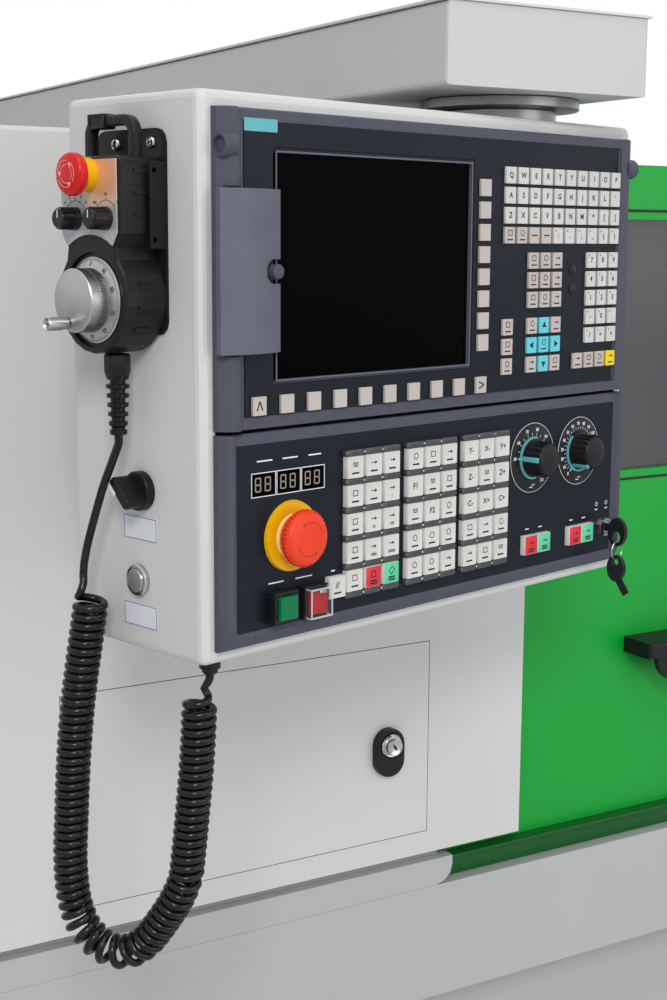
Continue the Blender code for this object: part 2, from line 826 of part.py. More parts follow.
def make_chip_tray():
    end, side = MACHINE_LENGTH / 2 - TRAY_END_INSET, MACHINE_DEPTH / 2 - TRAY_INSET
    tray = piece("chip_tray", block((-end, -side, PEDESTAL_HEIGHT), (end, side, tray_top)), "grey_paint")
    inner_end, inner_side = end - TRAY_WALL, side - TRAY_WALL
    cut(tray, block((-inner_end, -inner_side, tray_floor), (inner_end, inner_side, tray_top - TRAY_WALL)))
    mouth_end, mouth_side = end - TRAY_LEDGE, side - TRAY_LEDGE
    cut(tray,
        block((-mouth_end, -mouth_side, tray_floor + TRAY_WALL),
              (mouth_end, mouth_side, tray_top + OVERRUN)))


def u_outline(left, right, low, high, width):
    """A U that is open to the right."""
    return [(left, low), (right, low), (right, low + width), (left + width, low + width),
            (left + width, high - width), (right, high - width), (right, high), (left, high)]


def make_plinth_strip():
    left, side = left_x + TRAY_END_INSET, MACHINE_DEPTH / 2 - TRAY_INSET
    bottom, step = tray_top + CLEAR, tray_top + PLINTH_HEIGHT
    lower = prism(u_outline(left, door_left, -side, side, PLINTH_WIDTH), "z", bottom, step)
    soften(lower, PLINTH_CORNER, CORNER_STEPS, lambda a,
           b: abs(a.x - door_left) + abs(b.x - door_left) < MERGE
           and abs(a.z - bottom) + abs(b.z - bottom) < MERGE and a.y < 0)
    strip = piece("plinth_strip", lower, "light_paint")
    upper = u_outline(left + BAND_RECESS, door_left - BAND_RECESS, BAND_RECESS - side, side - BAND_RECESS,
                      PLINTH_WIDTH - BAND_RECESS)
    fuse(strip, prism(upper, "z", step - SINK, cover_bottom - CLEAR))


def make_left_cover():
    shape = block((left_x, front_y, cover_bottom), (wall_x, rear_y, cover_top))
    soften(shape, COVER_EDGE, 2, lambda a, b: a.y + b.y < 2 * front_y + MERGE
           and a.z + b.z > 2 * cover_bottom + MERGE and a.x + b.x < 2 * wall_x - MERGE)
    cover = piece("left_cover", shape, "light_paint")
    inner = block((left_x + SHEET, front_y + SHEET, cover_bottom + SHEET),
                  (wall_x - SHEET, rear_y - SHEET, cover_top - SHEET))
    cut(cover, inner)
    overlap = block((wall_x - SHEET, front_y, cover_bottom),
                    (wall_x + OVERLAP_LENGTH, front_y + OVERLAP_DEPTH, cover_top))
    fuse(cover, overlap)
    cut(cover, block((left_x + COVER_FLANGE, front_y + COVER_FLANGE, cover_bottom - OVERRUN),
                     (wall_x - SHEET, rear_y - COVER_FLANGE, cover_bottom + COVER_FLANGE)))
    cut(cover, block((wall_x - COVER_FLANGE, bed_front - PASSAGE_MARGIN, cover_bottom - OVERRUN),
                     (wall_x + OVERRUN, bed_back + PASSAGE_MARGIN,
                      axis_z + SHOULDER_RADIUS + PASSAGE_MARGIN)))
    left, bottom = left_x + HATCH_FROM_LEFT, cover_bottom + HATCH_RISE
    cut(cover, block((left - HATCH_GAP, front_y - OVERRUN, bottom - HATCH_GAP),
                     (left + hatch_length + HATCH_GAP, front_y + SHEET + OVERRUN,
                      bottom + HATCH_HEIGHT + HATCH_GAP)))


def make_hatch():
    """The leaf turns about its left edge, where its face meets the cover's face."""
    hinge = (left_x + HATCH_FROM_LEFT, front_y, cover_bottom + HATCH_RISE)
    leaf = piece("hatch_door", block(ORIGIN, (hatch_length, HATCH_RETURN, HATCH_HEIGHT)), "light_paint",
                 at=hinge)
    cut(leaf, block((HATCH_SHEET, HATCH_SHEET, HATCH_SHEET),
                    (hatch_length - HATCH_SHEET, HATCH_RETURN + OVERRUN, HATCH_HEIGHT - HATCH_SHEET)))
    lock = (hinge[0] + hatch_length - LOCK_FROM_EDGE, front_y, hinge[2] + LOCK_RISE)
    half = LOCK_WIDTH / 2
    outline = arc((0, half - LOCK_BELOW), half, math.pi, math.tau, ROUND_STEPS // 2)
    outline += arc((0, 0), half, 0, math.pi, ROUND_STEPS // 2)
    housing = prism(outline, "y", -LOCK_DEPTH, -CLEAR)
    soften(housing, CYLINDER_EDGE, 2, at_level(-LOCK_DEPTH, 1))
    housing_piece = piece("hatch_lock", housing, "black_plastic", at=lock)
    bore = turned([(0, -OVERRUN), (CYLINDER_RADIUS + CLEAR, -OVERRUN),
                   (CYLINDER_RADIUS + CLEAR, LOCK_DEPTH + OVERRUN),
                   (0, LOCK_DEPTH + OVERRUN)], ROUND_STEPS)
    cut(housing_piece, rotated(bore, "X", math.radians(90)))
    rim, deep = CYLINDER_RADIUS - CYLINDER_EDGE, CYLINDER_DEPTH
    profile = [(0, CLEAR), (CYLINDER_RADIUS, CLEAR), (CYLINDER_RADIUS, deep - CYLINDER_EDGE), (rim, deep),
               (rim - CYLINDER_SLOT, deep), (rim - CYLINDER_SLOT, deep - CYLINDER_EDGE),
               (0, deep - CYLINDER_EDGE)]
    cylinder = piece("lock_cylinder", turned(profile, ROUND_STEPS), "chrome", at=lock, turn=FACE_FRONT)
    half_slot, reach = CYLINDER_SLOT / 2, rim - 2 * CYLINDER_SLOT
    cut(cylinder, block((-half_slot, -reach, deep - 2 * CYLINDER_SLOT), (half_slot, reach, deep + OVERRUN)))


def make_right_cover():
    front = door_y + DOOR_DEPTH + RIGHT_COVER_SETBACK
    bottom = tray_top + CLEAR
    shape = block((guard_left, front, bottom), (right_x, rear_y, door_top))
    soften(shape, COVER_EDGE, 2, lambda a, b: a.y + b.y < 2 * front + MERGE
           and a.z + b.z > 2 * bottom + MERGE)
    cover = piece("right_cover", shape, "light_paint")
    cut(cover, block((guard_left + SHEET, front + SHEET, bottom - OVERRUN),
                     (right_x - SHEET, rear_y - SHEET, door_top - SHEET)))
    cut(cover, block((guard_left - OVERRUN, front + PORTAL_EDGE, bottom - OVERRUN),
                     (guard_left + SHEET + OVERRUN, rear_y - PORTAL_REAR_EDGE, door_top - PORTAL_TOP_EDGE)))


def make_rear_guard():
    """One folded sheet: upright at the back, sloping down into the tray."""
    back, bottom = rear_y - GUARD_FROM_REAR, tray_top + CLEAR
    knee, toe = bottom + GUARD_SLOPE_HEIGHT, back - GUARD_SLOPE_DEPTH
    shin = bottom - TRAY_LEDGE
    outline = [(back, door_top), (back - GUARD_SLOPE_DEPTH / 2, door_top),
               (back - GUARD_SLOPE_DEPTH / 2, door_top - SHEET),
               (back - SHEET, door_top - SHEET), (back - SHEET, knee), (toe - SHEET, bottom),
               (toe - SHEET, shin),
               (toe, shin), (toe, bottom), (back, knee)]
    piece("rear_guard", prism(outline, "x", wall_x + CLEAR, guard_left - CLEAR), "green_paint")


def make_door_sill():
    side = MACHINE_DEPTH / 2 - TRAY_INSET
    lip, rear = -side, -side + SILL_REAR
    under = sill_top - SILL_SHEET
    foot = tray_top + CLEAR
    outline = [(lip, sill_top), (lip, under), (door_y, under), (door_y, foot), (rear, foot),
               (rear, foot + SILL_SHEET), (door_y + SILL_SHEET, foot + SILL_SHEET),
               (door_y + SILL_SHEET, under),
               (rear, under), (rear, sill_top)]
    piece("door_sill", prism(outline, "x", door_left + CLEAR, right_x - SILL_END), "green_paint")


def make_door():
    at = (door_left, door_y, sill_top + CLEAR)
    height = door_top - sill_top - CLEAR
    door = piece("door", block(ORIGIN, (DOOR_LENGTH, DOOR_DEPTH, height)), "green_paint", at=at)
    low = height - WINDOW_DROP - WINDOW_HEIGHT
    left, right, high = WINDOW_FROM_LEFT, WINDOW_FROM_LEFT + WINDOW_LENGTH, height - WINDOW_DROP
    cut(door, block((left, -OVERRUN, low), (right, DOOR_DEPTH + OVERRUN, high)))
    lap = WINDOW_LAP
    cut(door, block((left - lap, WINDOW_DEPTH, low - lap), (right + lap, DOOR_DEPTH + OVERRUN, high + lap)))
    pocket_top = low - lap - WINDOW_FRAME
    cut(door,
        block((DOOR_FOLD, SHEET, DOOR_FOLD), (DOOR_LENGTH - DOOR_FOLD, DOOR_DEPTH + OVERRUN, pocket_top)))
    pane = block((left - lap + CLEAR, WINDOW_DEPTH + CLEAR, low - lap + CLEAR),
                 (right + lap - CLEAR, 2 * WINDOW_DEPTH, high + lap - CLEAR))
    soften(pane, DOOR_CORNER, 2, along("y"))
    piece("window", pane, "clear_glass", at=at)
    top = low - HANDLE_BELOW_WINDOW
    handle_at = (door_left + HANDLE_FROM_LEFT, door_y, at[2] + top)
    bar = block((0, -HANDLE_REACH, -HANDLE_THICKNESS), (HANDLE_LENGTH, -CLEAR, 0))
    soften(bar, GRIP_WALL / 2, 2, lambda a, b: a.y + b.y < MERGE - 2 * HANDLE_REACH)
    handle = piece("door_handle", bar, "black_plastic", at=handle_at)
    inner, outer = GRIP_INSET, HANDLE_LENGTH - GRIP_INSET
    low_edge = -HANDLE_THICKNESS - GRIP_DROP
    lip = [(inner, SINK - HANDLE_THICKNESS)]
    lip += arc((inner + GRIP_DROP, low_edge + GRIP_DROP), GRIP_DROP, math.pi, 1.5 * math.pi,
               2 * CORNER_STEPS)
    lip += arc((outer - GRIP_DROP, low_edge + GRIP_DROP), GRIP_DROP, 1.5 * math.pi, math.tau,
               2 * CORNER_STEPS)
    lip += [(outer, SINK - HANDLE_THICKNESS)]
    fuse(handle, prism(lip, "y", GRIP_WALL / 2 - HANDLE_REACH, GRIP_LIP_REAR - HANDLE_REACH))


# Bed and moving slides
def make_bed():
    """Outline of the casting across the ways, with a vee on the front way."""
    bottom, top = tray_floor + CLEAR, bed_top
    web_front, web_back = bed_front + WEB_INSET, bed_back - WEB_INSET
    vee_middle = bed_front + WAY_WIDTH / 2
    channel = top - CHANNEL_DEPTH
    foot = bottom + FOOT_HEIGHT
    under_way = top - WAY_HEIGHT
    outline = [(bed_front, bottom), (bed_back, bottom), (bed_back, foot), (web_back, foot + WEB_INSET),
               (web_back, under_way - WEB_INSET), (bed_back, under_way), (bed_back, top),
               (bed_back - WAY_WIDTH, top),
               (bed_back - WAY_WIDTH, channel), (bed_front + WAY_WIDTH, channel),
               (bed_front + WAY_WIDTH, top),
               (vee_middle + VEE_WIDTH / 2, top), (vee_middle, top + VEE_HEIGHT),
               (vee_middle - VEE_WIDTH / 2, top),
               (bed_front, top), (bed_front, under_way), (web_front, under_way - WEB_INSET),
               (web_front, foot + WEB_INSET),
               (bed_front, foot)]
    piece("bed", prism(outline, "x", bed_left, bed_right), "cast_iron")


def way_groove(start, end):
    """The space that the vee and the top of the ways take in whatever sits on them."""
    middle, half = bed_front + WAY_WIDTH / 2, VEE_WIDTH / 2 + CLEAR
    outline = [(middle - half - OVERRUN, bed_top - OVERRUN), (middle + half + OVERRUN, bed_top - OVERRUN),
               (middle + half + CLEAR, bed_top + CLEAR), (middle, bed_top + VEE_HEIGHT + 2 * CLEAR),
               (middle - half - CLEAR, bed_top + CLEAR)]
    return prism(outline, "x", start - OVERRUN, end + OVERRUN)


def bored(radius, start, end):
    """A round tool along the spindle's axis."""
    shape = turned([(0, start), (radius, start), (radius, end), (0, end)], LARGE_STEPS)
    return shifted(rotated(shape, "Y", math.radians(90)), (0, axis_y, axis_z))


def make_headstock():
    outline = [(bed_front, bed_top + CLEAR), (bed_back, bed_top + CLEAR)]
    outline += [(bed_back, axis_z - SHOULDER_RADIUS / 2)]
    outline += arc((axis_y, axis_z), SHOULDER_RADIUS, 0, math.pi, LARGE_STEPS // 2)
    outline += [(bed_front, axis_z - SHOULDER_RADIUS / 2)]
    headstock = piece("headstock", prism(outline, "x", head_left, head_right), "cast_iron")
    fuse(headstock, bored(BEARING_CAP_RADIUS, head_right - SINK, head_right + BEARING_CAP_DEPTH))
    cut(headstock, way_groove(head_left, head_right))
    cut(headstock,
        bored(SPINDLE_RADIUS + RUNNING_FIT, head_left - OVERRUN, head_right + BEARING_CAP_DEPTH + OVERRUN))
    at = (head_right + BEARING_CAP_DEPTH, axis_y, axis_z)
    back = head_left - head_right - BEARING_CAP_DEPTH
    profile = [(0, NOSE_LENGTH - CLEAR), (NOSE_RADIUS, NOSE_LENGTH - CLEAR), (NOSE_RADIUS, CLEAR),
               (SPINDLE_RADIUS, CLEAR),
               (SPINDLE_RADIUS, back - CLEAR), (PULLEY_RADIUS, back - CLEAR),
               (PULLEY_RADIUS, back - PULLEY_WIDTH),
               (SPINDLE_RADIUS / 2, back - PULLEY_WIDTH), (SPINDLE_RADIUS / 2, back - SPINDLE_TAIL),
               (0, back - SPINDLE_TAIL)]
    piece("spindle", turned(profile, LARGE_STEPS), "steel", at=at, turn=FACE_RIGHT)


def make_chuck():
    at = (chuck_left, axis_y, axis_z)
    face = CHUCK_LENGTH
    profile = [(CHUCK_BORE, CLEAR), (CHUCK_RADIUS - CHUCK_STEP, CLEAR), (CHUCK_RADIUS, CHUCK_STEP),
               (CHUCK_RADIUS, face - CHUCK_EDGE), (CHUCK_RADIUS - CHUCK_EDGE, face), (CHUCK_BORE, face)]
    chuck = piece("chuck", turned(profile, LARGE_STEPS, closed=True), "steel", at=at, turn=FACE_RIGHT)
    half = JAW_WIDTH / 2
    top = face + JAW_HEIGHT
    outline = [(JAW_INNER, face - SINK), (JAW_INNER, top), (JAW_STEP_RADIUS, top),
               (JAW_STEP_RADIUS, top - JAW_STEP),
               (JAW_OUTER, top - JAW_STEP), (JAW_OUTER, face - SINK)]
    jaws = [rotated(prism(outline, "y", -half, half), "Z", math.tau * index / JAW_COUNT)
            for index in range(JAW_COUNT)]
    fuse(chuck, together(jaws))


def make_saddle():
    front, back = bed_front - SADDLE_OVERHANG, bed_back + SADDLE_OVERHANG
    bottom, top = bed_top + CLEAR, bed_top + SADDLE_THICKNESS
    apron_back = bed_front - CLEAR - (SADDLE_OVERHANG - APRON_THICKNESS)
    outline = [(front, top), (front, bottom - APRON_DROP), (apron_back, bottom - APRON_DROP),
               (apron_back, bottom),
               (back, bottom), (back, top)]
    right = saddle_left + SADDLE_LENGTH
    saddle = piece("saddle", prism(outline, "x", saddle_left, right), "cast_iron")
    cut(saddle, way_groove(saddle_left, right))
    middle, half = (saddle_left + right) / 2, RAIL_WIDTH / 2
    fuse(saddle, block((middle - half, front, top - SINK), (middle + half, back, top + RAIL_HEIGHT)))


def make_cross_slide():
    length = BED_WIDTH + 2 * SADDLE_OVERHANG
    at = (slide_left, slide_front, slide_bottom + CLEAR)
    shape = block(ORIGIN, (SLIDE_WIDTH, length, SLIDE_THICKNESS - CLEAR))
    slide = piece("cross_slide", soften(shape, TURRET_EDGE, 1, along("z")), "cast_iron", at=at)
    middle = SLIDE_WIDTH / 2
    centre = (middle, TURRET_FROM_FRONT, SLIDE_THICKNESS - CLEAR - SINK)
    column = turned([(0, 0), (TURRET_BASE_RADIUS, 0), (TURRET_BASE_RADIUS, TURRET_BASE + SINK),
                     (0, TURRET_BASE + SINK)],
                    LARGE_STEPS)
    fuse(slide, shifted(column, centre))
    skirt = RAIL_HEIGHT - 2 * CLEAR
    rail = (SLIDE_WIDTH - RAIL_WIDTH) / 2 - CLEAR
    sides = [block((0, TURRET_EDGE, -skirt), (rail, length - TURRET_EDGE, SINK)),
             block((SLIDE_WIDTH - rail, TURRET_EDGE, -skirt), (SLIDE_WIDTH, length - TURRET_EDGE, SINK))]
    fuse(slide, together(sides))


def make_turret():
    """Square head for four tools, with a slot along each side."""
    at = (slide_left + SLIDE_WIDTH / 2, slide_front + TURRET_FROM_FRONT, turret_bottom)
    half = TURRET_SIZE / 2
    shape = block((-half, -half, CLEAR), (half, half, TURRET_HEIGHT))
    turret = piece("turret", soften(shape, TURRET_EDGE, 1, along("z")), "steel", at=at)
    low, high = TURRET_SLOT_RISE, TURRET_SLOT_RISE + TURRET_SLOT
    cut(turret, ring_prism((-half - OVERRUN, -half - OVERRUN), (half + OVERRUN, half + OVERRUN),
                           TURRET_SLOT_DEPTH + OVERRUN, low, high))
    profile = [(0, TURRET_HEIGHT - SINK), (TURRET_BOSS_RADIUS, TURRET_HEIGHT - SINK),
               (TURRET_BOSS_RADIUS, TURRET_HEIGHT + TURRET_BOSS_HEIGHT),
               (0, TURRET_HEIGHT + TURRET_BOSS_HEIGHT)]
    fuse(turret, turned(profile, ROUND_STEPS))


def make_tailstock():
    right = tail_left + TAIL_LENGTH
    half = TAIL_BASE_WIDTH / 2
    base_top = bed_top + TAIL_BASE_HEIGHT
    outline = [(axis_y - half, bed_top + CLEAR), (axis_y + half, bed_top + CLEAR),
               (axis_y + half, base_top)]
    outline += arc((axis_y, axis_z), TAIL_RADIUS, 0, math.pi, LARGE_STEPS // 2)
    outline += [(axis_y - half, base_top)]
    tail = piece("tailstock", prism(outline, "x", tail_left, right), "cast_iron")
    cut(tail, way_groove(tail_left, right))
    cut(tail, bored(QUILL_RADIUS + CLEAR, tail_left - OVERRUN, tail_left + QUILL_LENGTH + OVERRUN))
    cut(tail, bored(WHEEL_SHAFT + CLEAR, tail_left + QUILL_LENGTH, right + OVERRUN))
    point = -QUILL_SHOWN - QUILL_POINT
    profile = [(0, point), (QUILL_POINT / 2, -QUILL_SHOWN), (QUILL_RADIUS, -QUILL_SHOWN),
               (QUILL_RADIUS, QUILL_LENGTH - QUILL_SHOWN), (0, QUILL_LENGTH - QUILL_SHOWN)]
    piece("quill", turned(profile, LARGE_STEPS), "steel", at=(tail_left, axis_y, axis_z), turn=FACE_RIGHT)
    near, far = WHEEL_STANDOFF, WHEEL_STANDOFF + WHEEL_DEPTH
    root = QUILL_SHOWN - TAIL_LENGTH + QUILL_LENGTH
    profile = [(0, root), (WHEEL_SHAFT, root), (WHEEL_SHAFT, CLEAR), (WHEEL_HUB, CLEAR),
               (WHEEL_HUB, near + WHEEL_WEB),
               (WHEEL_RADIUS - WHEEL_RIM, near + WHEEL_WEB), (WHEEL_RADIUS - WHEEL_RIM, near),
               (WHEEL_RADIUS, near),
               (WHEEL_RADIUS, far), (WHEEL_RADIUS - WHEEL_RIM, far),
               (WHEEL_RADIUS - WHEEL_RIM, far - WHEEL_WEB),
               (WHEEL_HUB, far - WHEEL_WEB), (WHEEL_HUB, far), (0, far)]
    wheel = piece("tailstock_wheel", turned(profile, LARGE_STEPS), "steel", at=(right, axis_y, axis_z),
                  turn=FACE_RIGHT)
    peg = turned([(0, far - SINK), (WHEEL_PEG, far - SINK), (WHEEL_PEG, far + WHEEL_PEG_LENGTH),
                  (0, far + WHEEL_PEG_LENGTH)], SMALL_STEPS)
    fuse(wheel, shifted(peg, (WHEEL_RADIUS - WHEEL_RIM / 2 - CLEAR, 0, 0)))


# Arm and pendant
def make_arm():
    right, top = arm_left + ARM_WIDTH, arm_bottom + ARM_HEIGHT
    back = arm_front + ARM_LENGTH
    shape = block((arm_left, arm_front, arm_bottom), (right, back, top))
    soften(shape, ARM_EDGE, 2, lambda a, b: along("y")(a, b) or (along("z")(a, b) and a.y < 0))
    arm = piece("support_arm", shape, "light_paint")
    cut(arm,
        block((arm_left + SHEET, arm_front + SHEET, arm_bottom + SHEET),
              (right - SHEET, back - SHEET, top + OVERRUN)))
    hole = turned([(0, -OVERRUN), (SPIGOT_RADIUS + CLEAR, -OVERRUN),
                   (SPIGOT_RADIUS + CLEAR, SHEET + OVERRUN),
                   (0, SHEET + OVERRUN)], LARGE_STEPS)
    cut(arm, shifted(hole, (swivel_x, swivel_y, arm_bottom)))
    fuse(arm, block((arm_left + PAD_INSET, back - PAD_INSET - PAD_LENGTH, cover_top + CLEAR),
                    (right - PAD_INSET, back - PAD_INSET, arm_bottom + SINK)))
    lid = block((arm_left - LID_LAP, arm_front - LID_LAP, top + CLEAR),
                (right + LID_LAP, back + LID_LAP, top + CLEAR + LID_THICKNESS))
    piece("arm_lid", lid, "light_paint")
    bottom, high = CLEAR, CLEAR + COLLAR_HEIGHT
    profile = [(0, bottom), (COLLAR_RADIUS - COLLAR_EDGE, bottom), (COLLAR_RADIUS, bottom + COLLAR_EDGE),
               (COLLAR_RADIUS, high - COLLAR_EDGE), (COLLAR_RADIUS - COLLAR_EDGE, high),
               (SPIGOT_RADIUS, high),
               (SPIGOT_RADIUS, high + SPIGOT_HEIGHT), (0, high + SPIGOT_HEIGHT)]
    piece("swivel_collar", turned(profile, LARGE_STEPS), "steel", swivel, (0, 0, CABINET_BROW))


def make_cabinet():
    low = (-CABINET_MARGIN, 0, cabinet_bottom)
    high = (CABINET_WIDTH - CABINET_MARGIN, CABINET_DEPTH, CABINET_BROW)
    shape = soften(block(low, high), CABINET_EDGE, CORNER_STEPS, lambda a, b: True)
    cabinet = piece("pendant_cabinet", shape, "light_paint", swivel, on_pendant(0, 0, 0))
    wall = CABINET_WALL
    cut(cabinet,
        block((low[0] + wall, -OVERRUN, low[2] + wall), (high[0] - wall, high[1] - SHEET, high[2] - wall)))
    profile = [(0, CLEAR), (GLAND_RADIUS, CLEAR), (GLAND_RADIUS, GLAND_NUT), (GLAND_SLEEVE, GLAND_NUT),
               (GLAND_SLEEVE, GLAND_SLEEVE_LENGTH), (GLAND_RADIUS / 2, GLAND_LENGTH), (0, GLAND_LENGTH)]
    piece("cabinet_gland", turned(profile, SMALL_STEPS), "black_plastic", swivel,
          on_pendant(GLAND_X, GLAND_Y, cabinet_bottom), FACE_DOWN)


def key_cap(x, y, width, height, rise):
    """One key, rooted in its panel's face."""
    low = (x - width / 2, y - height / 2, PANEL_THICKNESS - SINK)
    return tapered(low, (x + width / 2, y + height / 2, PANEL_THICKNESS + rise), KEY_TAPER)


def small_key_places():
    """Places of the screen unit's keys, as (right, up)."""
    places = [(SOFT_COLUMN_X, -SOFT_COLUMN_TOP - SOFT_COLUMN_PITCH * row)
              for row in range(SOFT_COLUMN_COUNT)]
    places += [(SOFT_ROW_LEFT + SOFT_ROW_PITCH * column, -SOFT_ROW_DROP)
               for column in range(SOFT_ROW_COUNT)]

    def column_x(column):
        return GRID_LEFT + GRID_PITCH * column

    for row in range(LETTER_ROWS):
        places += [(column_x(column), -LETTER_TOP - LETTER_PITCH * row) for column in range(GRID_COLUMNS)]
    for row in range(EDIT_ROWS):
        places += [(column_x(column), -PAD_TOP - PAD_PITCH * row) for column in (2, 3, 4)]
        places += [(column_x(column), -ARROW_TOP - PAD_PITCH * row) for column in (0, 2, 3, 4)]
    for row in range(NUMBER_ROWS):
        places += [(column_x(column), -PAD_TOP - PAD_PITCH * row) for column in (7, 8, 9)]
    places += [(column_x(column), -ARROW_TOP - PAD_PITCH * (EDIT_ROWS - 1)) for column in (6, 7, 8, 9)]
    return places


def panel_shape(bottom, top, width):
    """A panel with a rounded column along each side, seen from above as (right, out)."""
    shares = [step / COLUMN_STEPS for step in range(COLUMN_STEPS + 1)]
    rise = COLUMN_CREST - (COLUMN_EDGE + PANEL_THICKNESS) / 2
    column = [(width * share, COLUMN_EDGE + (PANEL_THICKNESS - COLUMN_EDGE) * share
               + rise * math.sin(math.pi * share)) for share in shares]
    far = [(PANEL_WIDTH - x, out) for x, out in reversed(column)]
    outline = [(0, CLEAR)] + column + far + [(PANEL_WIDTH, CLEAR)]
    shape = prism(outline, "y", bottom, top)
    return soften(shape, COLUMN_TOP, 1, lambda a, b: at_level(top, 1)(a, b) and a.z + b.z > 2 * COLUMN_EDGE)


def make_screen_unit():
    unit = piece("screen_unit", panel_shape(-SCREEN_UNIT_HEIGHT, 0, COLUMN_WIDTH), "charcoal", swivel,
                 on_front(0, 0), FACE_FRONT)
    right, bottom = SCREEN_LEFT + SCREEN_WIDTH, -SCREEN_TOP - SCREEN_HEIGHT
    floor = PANEL_THICKNESS - SCREEN_DEPTH
    lean = SCREEN_BEVEL * (SCREEN_DEPTH + OVERRUN) / SCREEN_DEPTH
    low = (SCREEN_LEFT - lean, bottom - lean, floor)
    high = (right + lean, lean - SCREEN_TOP, PANEL_THICKNESS + OVERRUN)
    pocket = block(low, high)
    middle = Vector((SCREEN_LEFT + SCREEN_WIDTH / 2, bottom + SCREEN_HEIGHT / 2, 0))
    for vert in pocket.verts:
        if vert.co.z < PANEL_THICKNESS:
            vert.co.x -= math.copysign(lean, vert.co.x - middle.x)
            vert.co.y -= math.copysign(lean, vert.co.y - middle.y)
    cut(unit, pocket)
    cut(unit,
        ring_prism((GROOVE_LEFT, GROOVE_MARGIN - SCREEN_UNIT_HEIGHT), (GROOVE_RIGHT, -GROOVE_MARGIN),
                   GROOVE_WIDTH,
                         PANEL_THICKNESS - GROOVE_DEPTH, PANEL_THICKNESS + OVERRUN))
    flap_low, flap_high = -FLAP_TOP - FLAP_HEIGHT - FLAP_GAP, FLAP_GAP - FLAP_TOP
    cut(unit,
        block((-OVERRUN, flap_low, PANEL_THICKNESS),
              (COLUMN_WIDTH + CLEAR, flap_high, COLUMN_CREST + OVERRUN)))
    barrel = [(0, 0), (KNOB_RADIUS - COLUMN_TOP, 0), (KNOB_RADIUS, COLUMN_TOP),
              (KNOB_RADIUS, KNOB_LENGTH - COLUMN_TOP),
              (KNOB_RADIUS - COLUMN_TOP, KNOB_LENGTH), (0, KNOB_LENGTH)]
    socket = [(0, -OVERRUN), (KNOB_SOCKET, -OVERRUN), (KNOB_SOCKET, KNOB_SOCKET_DEPTH),
              (0, KNOB_SOCKET_DEPTH)]

    def lying(profile, x, spin):
        shape = rotated(turned(profile, ROUND_STEPS), "Y", spin * math.pi / 2)
        return shifted(shape, (x, -KNOB_DROP, PANEL_THICKNESS))

    ends = ((-KNOB_PROUD, 1), (PANEL_WIDTH + KNOB_PROUD, -1))
    fuse(unit, together([lying(barrel, x, spin) for x, spin in ends]))
    cut(unit, together([lying(socket, x, spin) for x, spin in ends]))
    root = PANEL_THICKNESS - SINK
    screw_top = PANEL_THICKNESS + CAPTIVE_LENGTH
    profile = [(0, root), (CAPTIVE_RADIUS, root), (CAPTIVE_RADIUS, screw_top - COLUMN_TOP),
               (CAPTIVE_RADIUS - COLUMN_TOP, screw_top), (0, screw_top)]
    screw = turned(profile, SMALL_STEPS)
    fuse(unit, shifted(screw, (FLAP_RIGHT - NOTCH_FROM_EDGE, -FLAP_TOP - FLAP_HEIGHT / 2, 0)))
    keys = [key_cap(x, y, KEY_WIDTH, KEY_HEIGHT, KEY_RISE) for x, y in small_key_places()]
    for row in range(2):
        profile = [(0, root), (SENSOR_RADIUS, root), (SENSOR_RADIUS, PANEL_THICKNESS + SENSOR_RISE),
                   (0, PANEL_THICKNESS + SENSOR_RISE)]
        keys.append(shifted(turned(profile, SMALL_STEPS),
                            (SENSOR_X, -PAD_TOP - PAD_PITCH * row - PAD_PITCH / 2, 0)))
    fuse(unit, together(keys))
    inset = SINK
    glass = block((SCREEN_LEFT + inset, bottom + inset, floor + CLEAR),
                  (right - inset, -SCREEN_TOP - inset, floor + CLEAR + GLASS_THICKNESS))
    piece("screen_glass", glass, "black_glass", swivel, on_front(0, 0), FACE_FRONT)


def make_flap():
    """A convex cover that is hollow behind and turns about its left edge."""
    width = FLAP_RIGHT + FLAP_OVERHANG
    at = on_front(-FLAP_OVERHANG, FLAP_TOP + FLAP_HEIGHT / 2, PANEL_THICKNESS + CLEAR)

    def section(inset):
        rise = FLAP_CREST - FLAP_EDGE_LEFT
        steps = SMALL_STEPS
        shares = [step / steps for step in range(steps + 1)]
        edge = [FLAP_EDGE_LEFT + (FLAP_EDGE_RIGHT - FLAP_EDGE_LEFT) * share for share in shares]
        crown = [(inset + (width - 2 * inset) * share, height + rise * math.sin(math.pi * share) - inset)
                 for share, height in zip(shares, edge)]
        return crown

    half = FLAP_HEIGHT / 2
    outer = [(0, 0)] + section(0) + [(width, 0)]
    flap = piece("flap", prism(outer, "y", -half, half), "charcoal", swivel, at, FACE_FRONT)
    inner = [(FLAP_WALL, -OVERRUN)] + section(FLAP_WALL) + [(width - FLAP_WALL, -OVERRUN)]
    cut(flap, prism(inner, "y", FLAP_WALL - half, half - FLAP_WALL))
    notch = [(width + OVERRUN, -NOTCH_RADIUS), (width + OVERRUN, NOTCH_RADIUS)]
    notch += arc((width - NOTCH_FROM_EDGE, 0), NOTCH_RADIUS, math.pi / 2, 1.5 * math.pi, ROUND_STEPS // 2)
    cut(flap, prism(notch, "z", -OVERRUN, FLAP_CREST + OVERRUN))


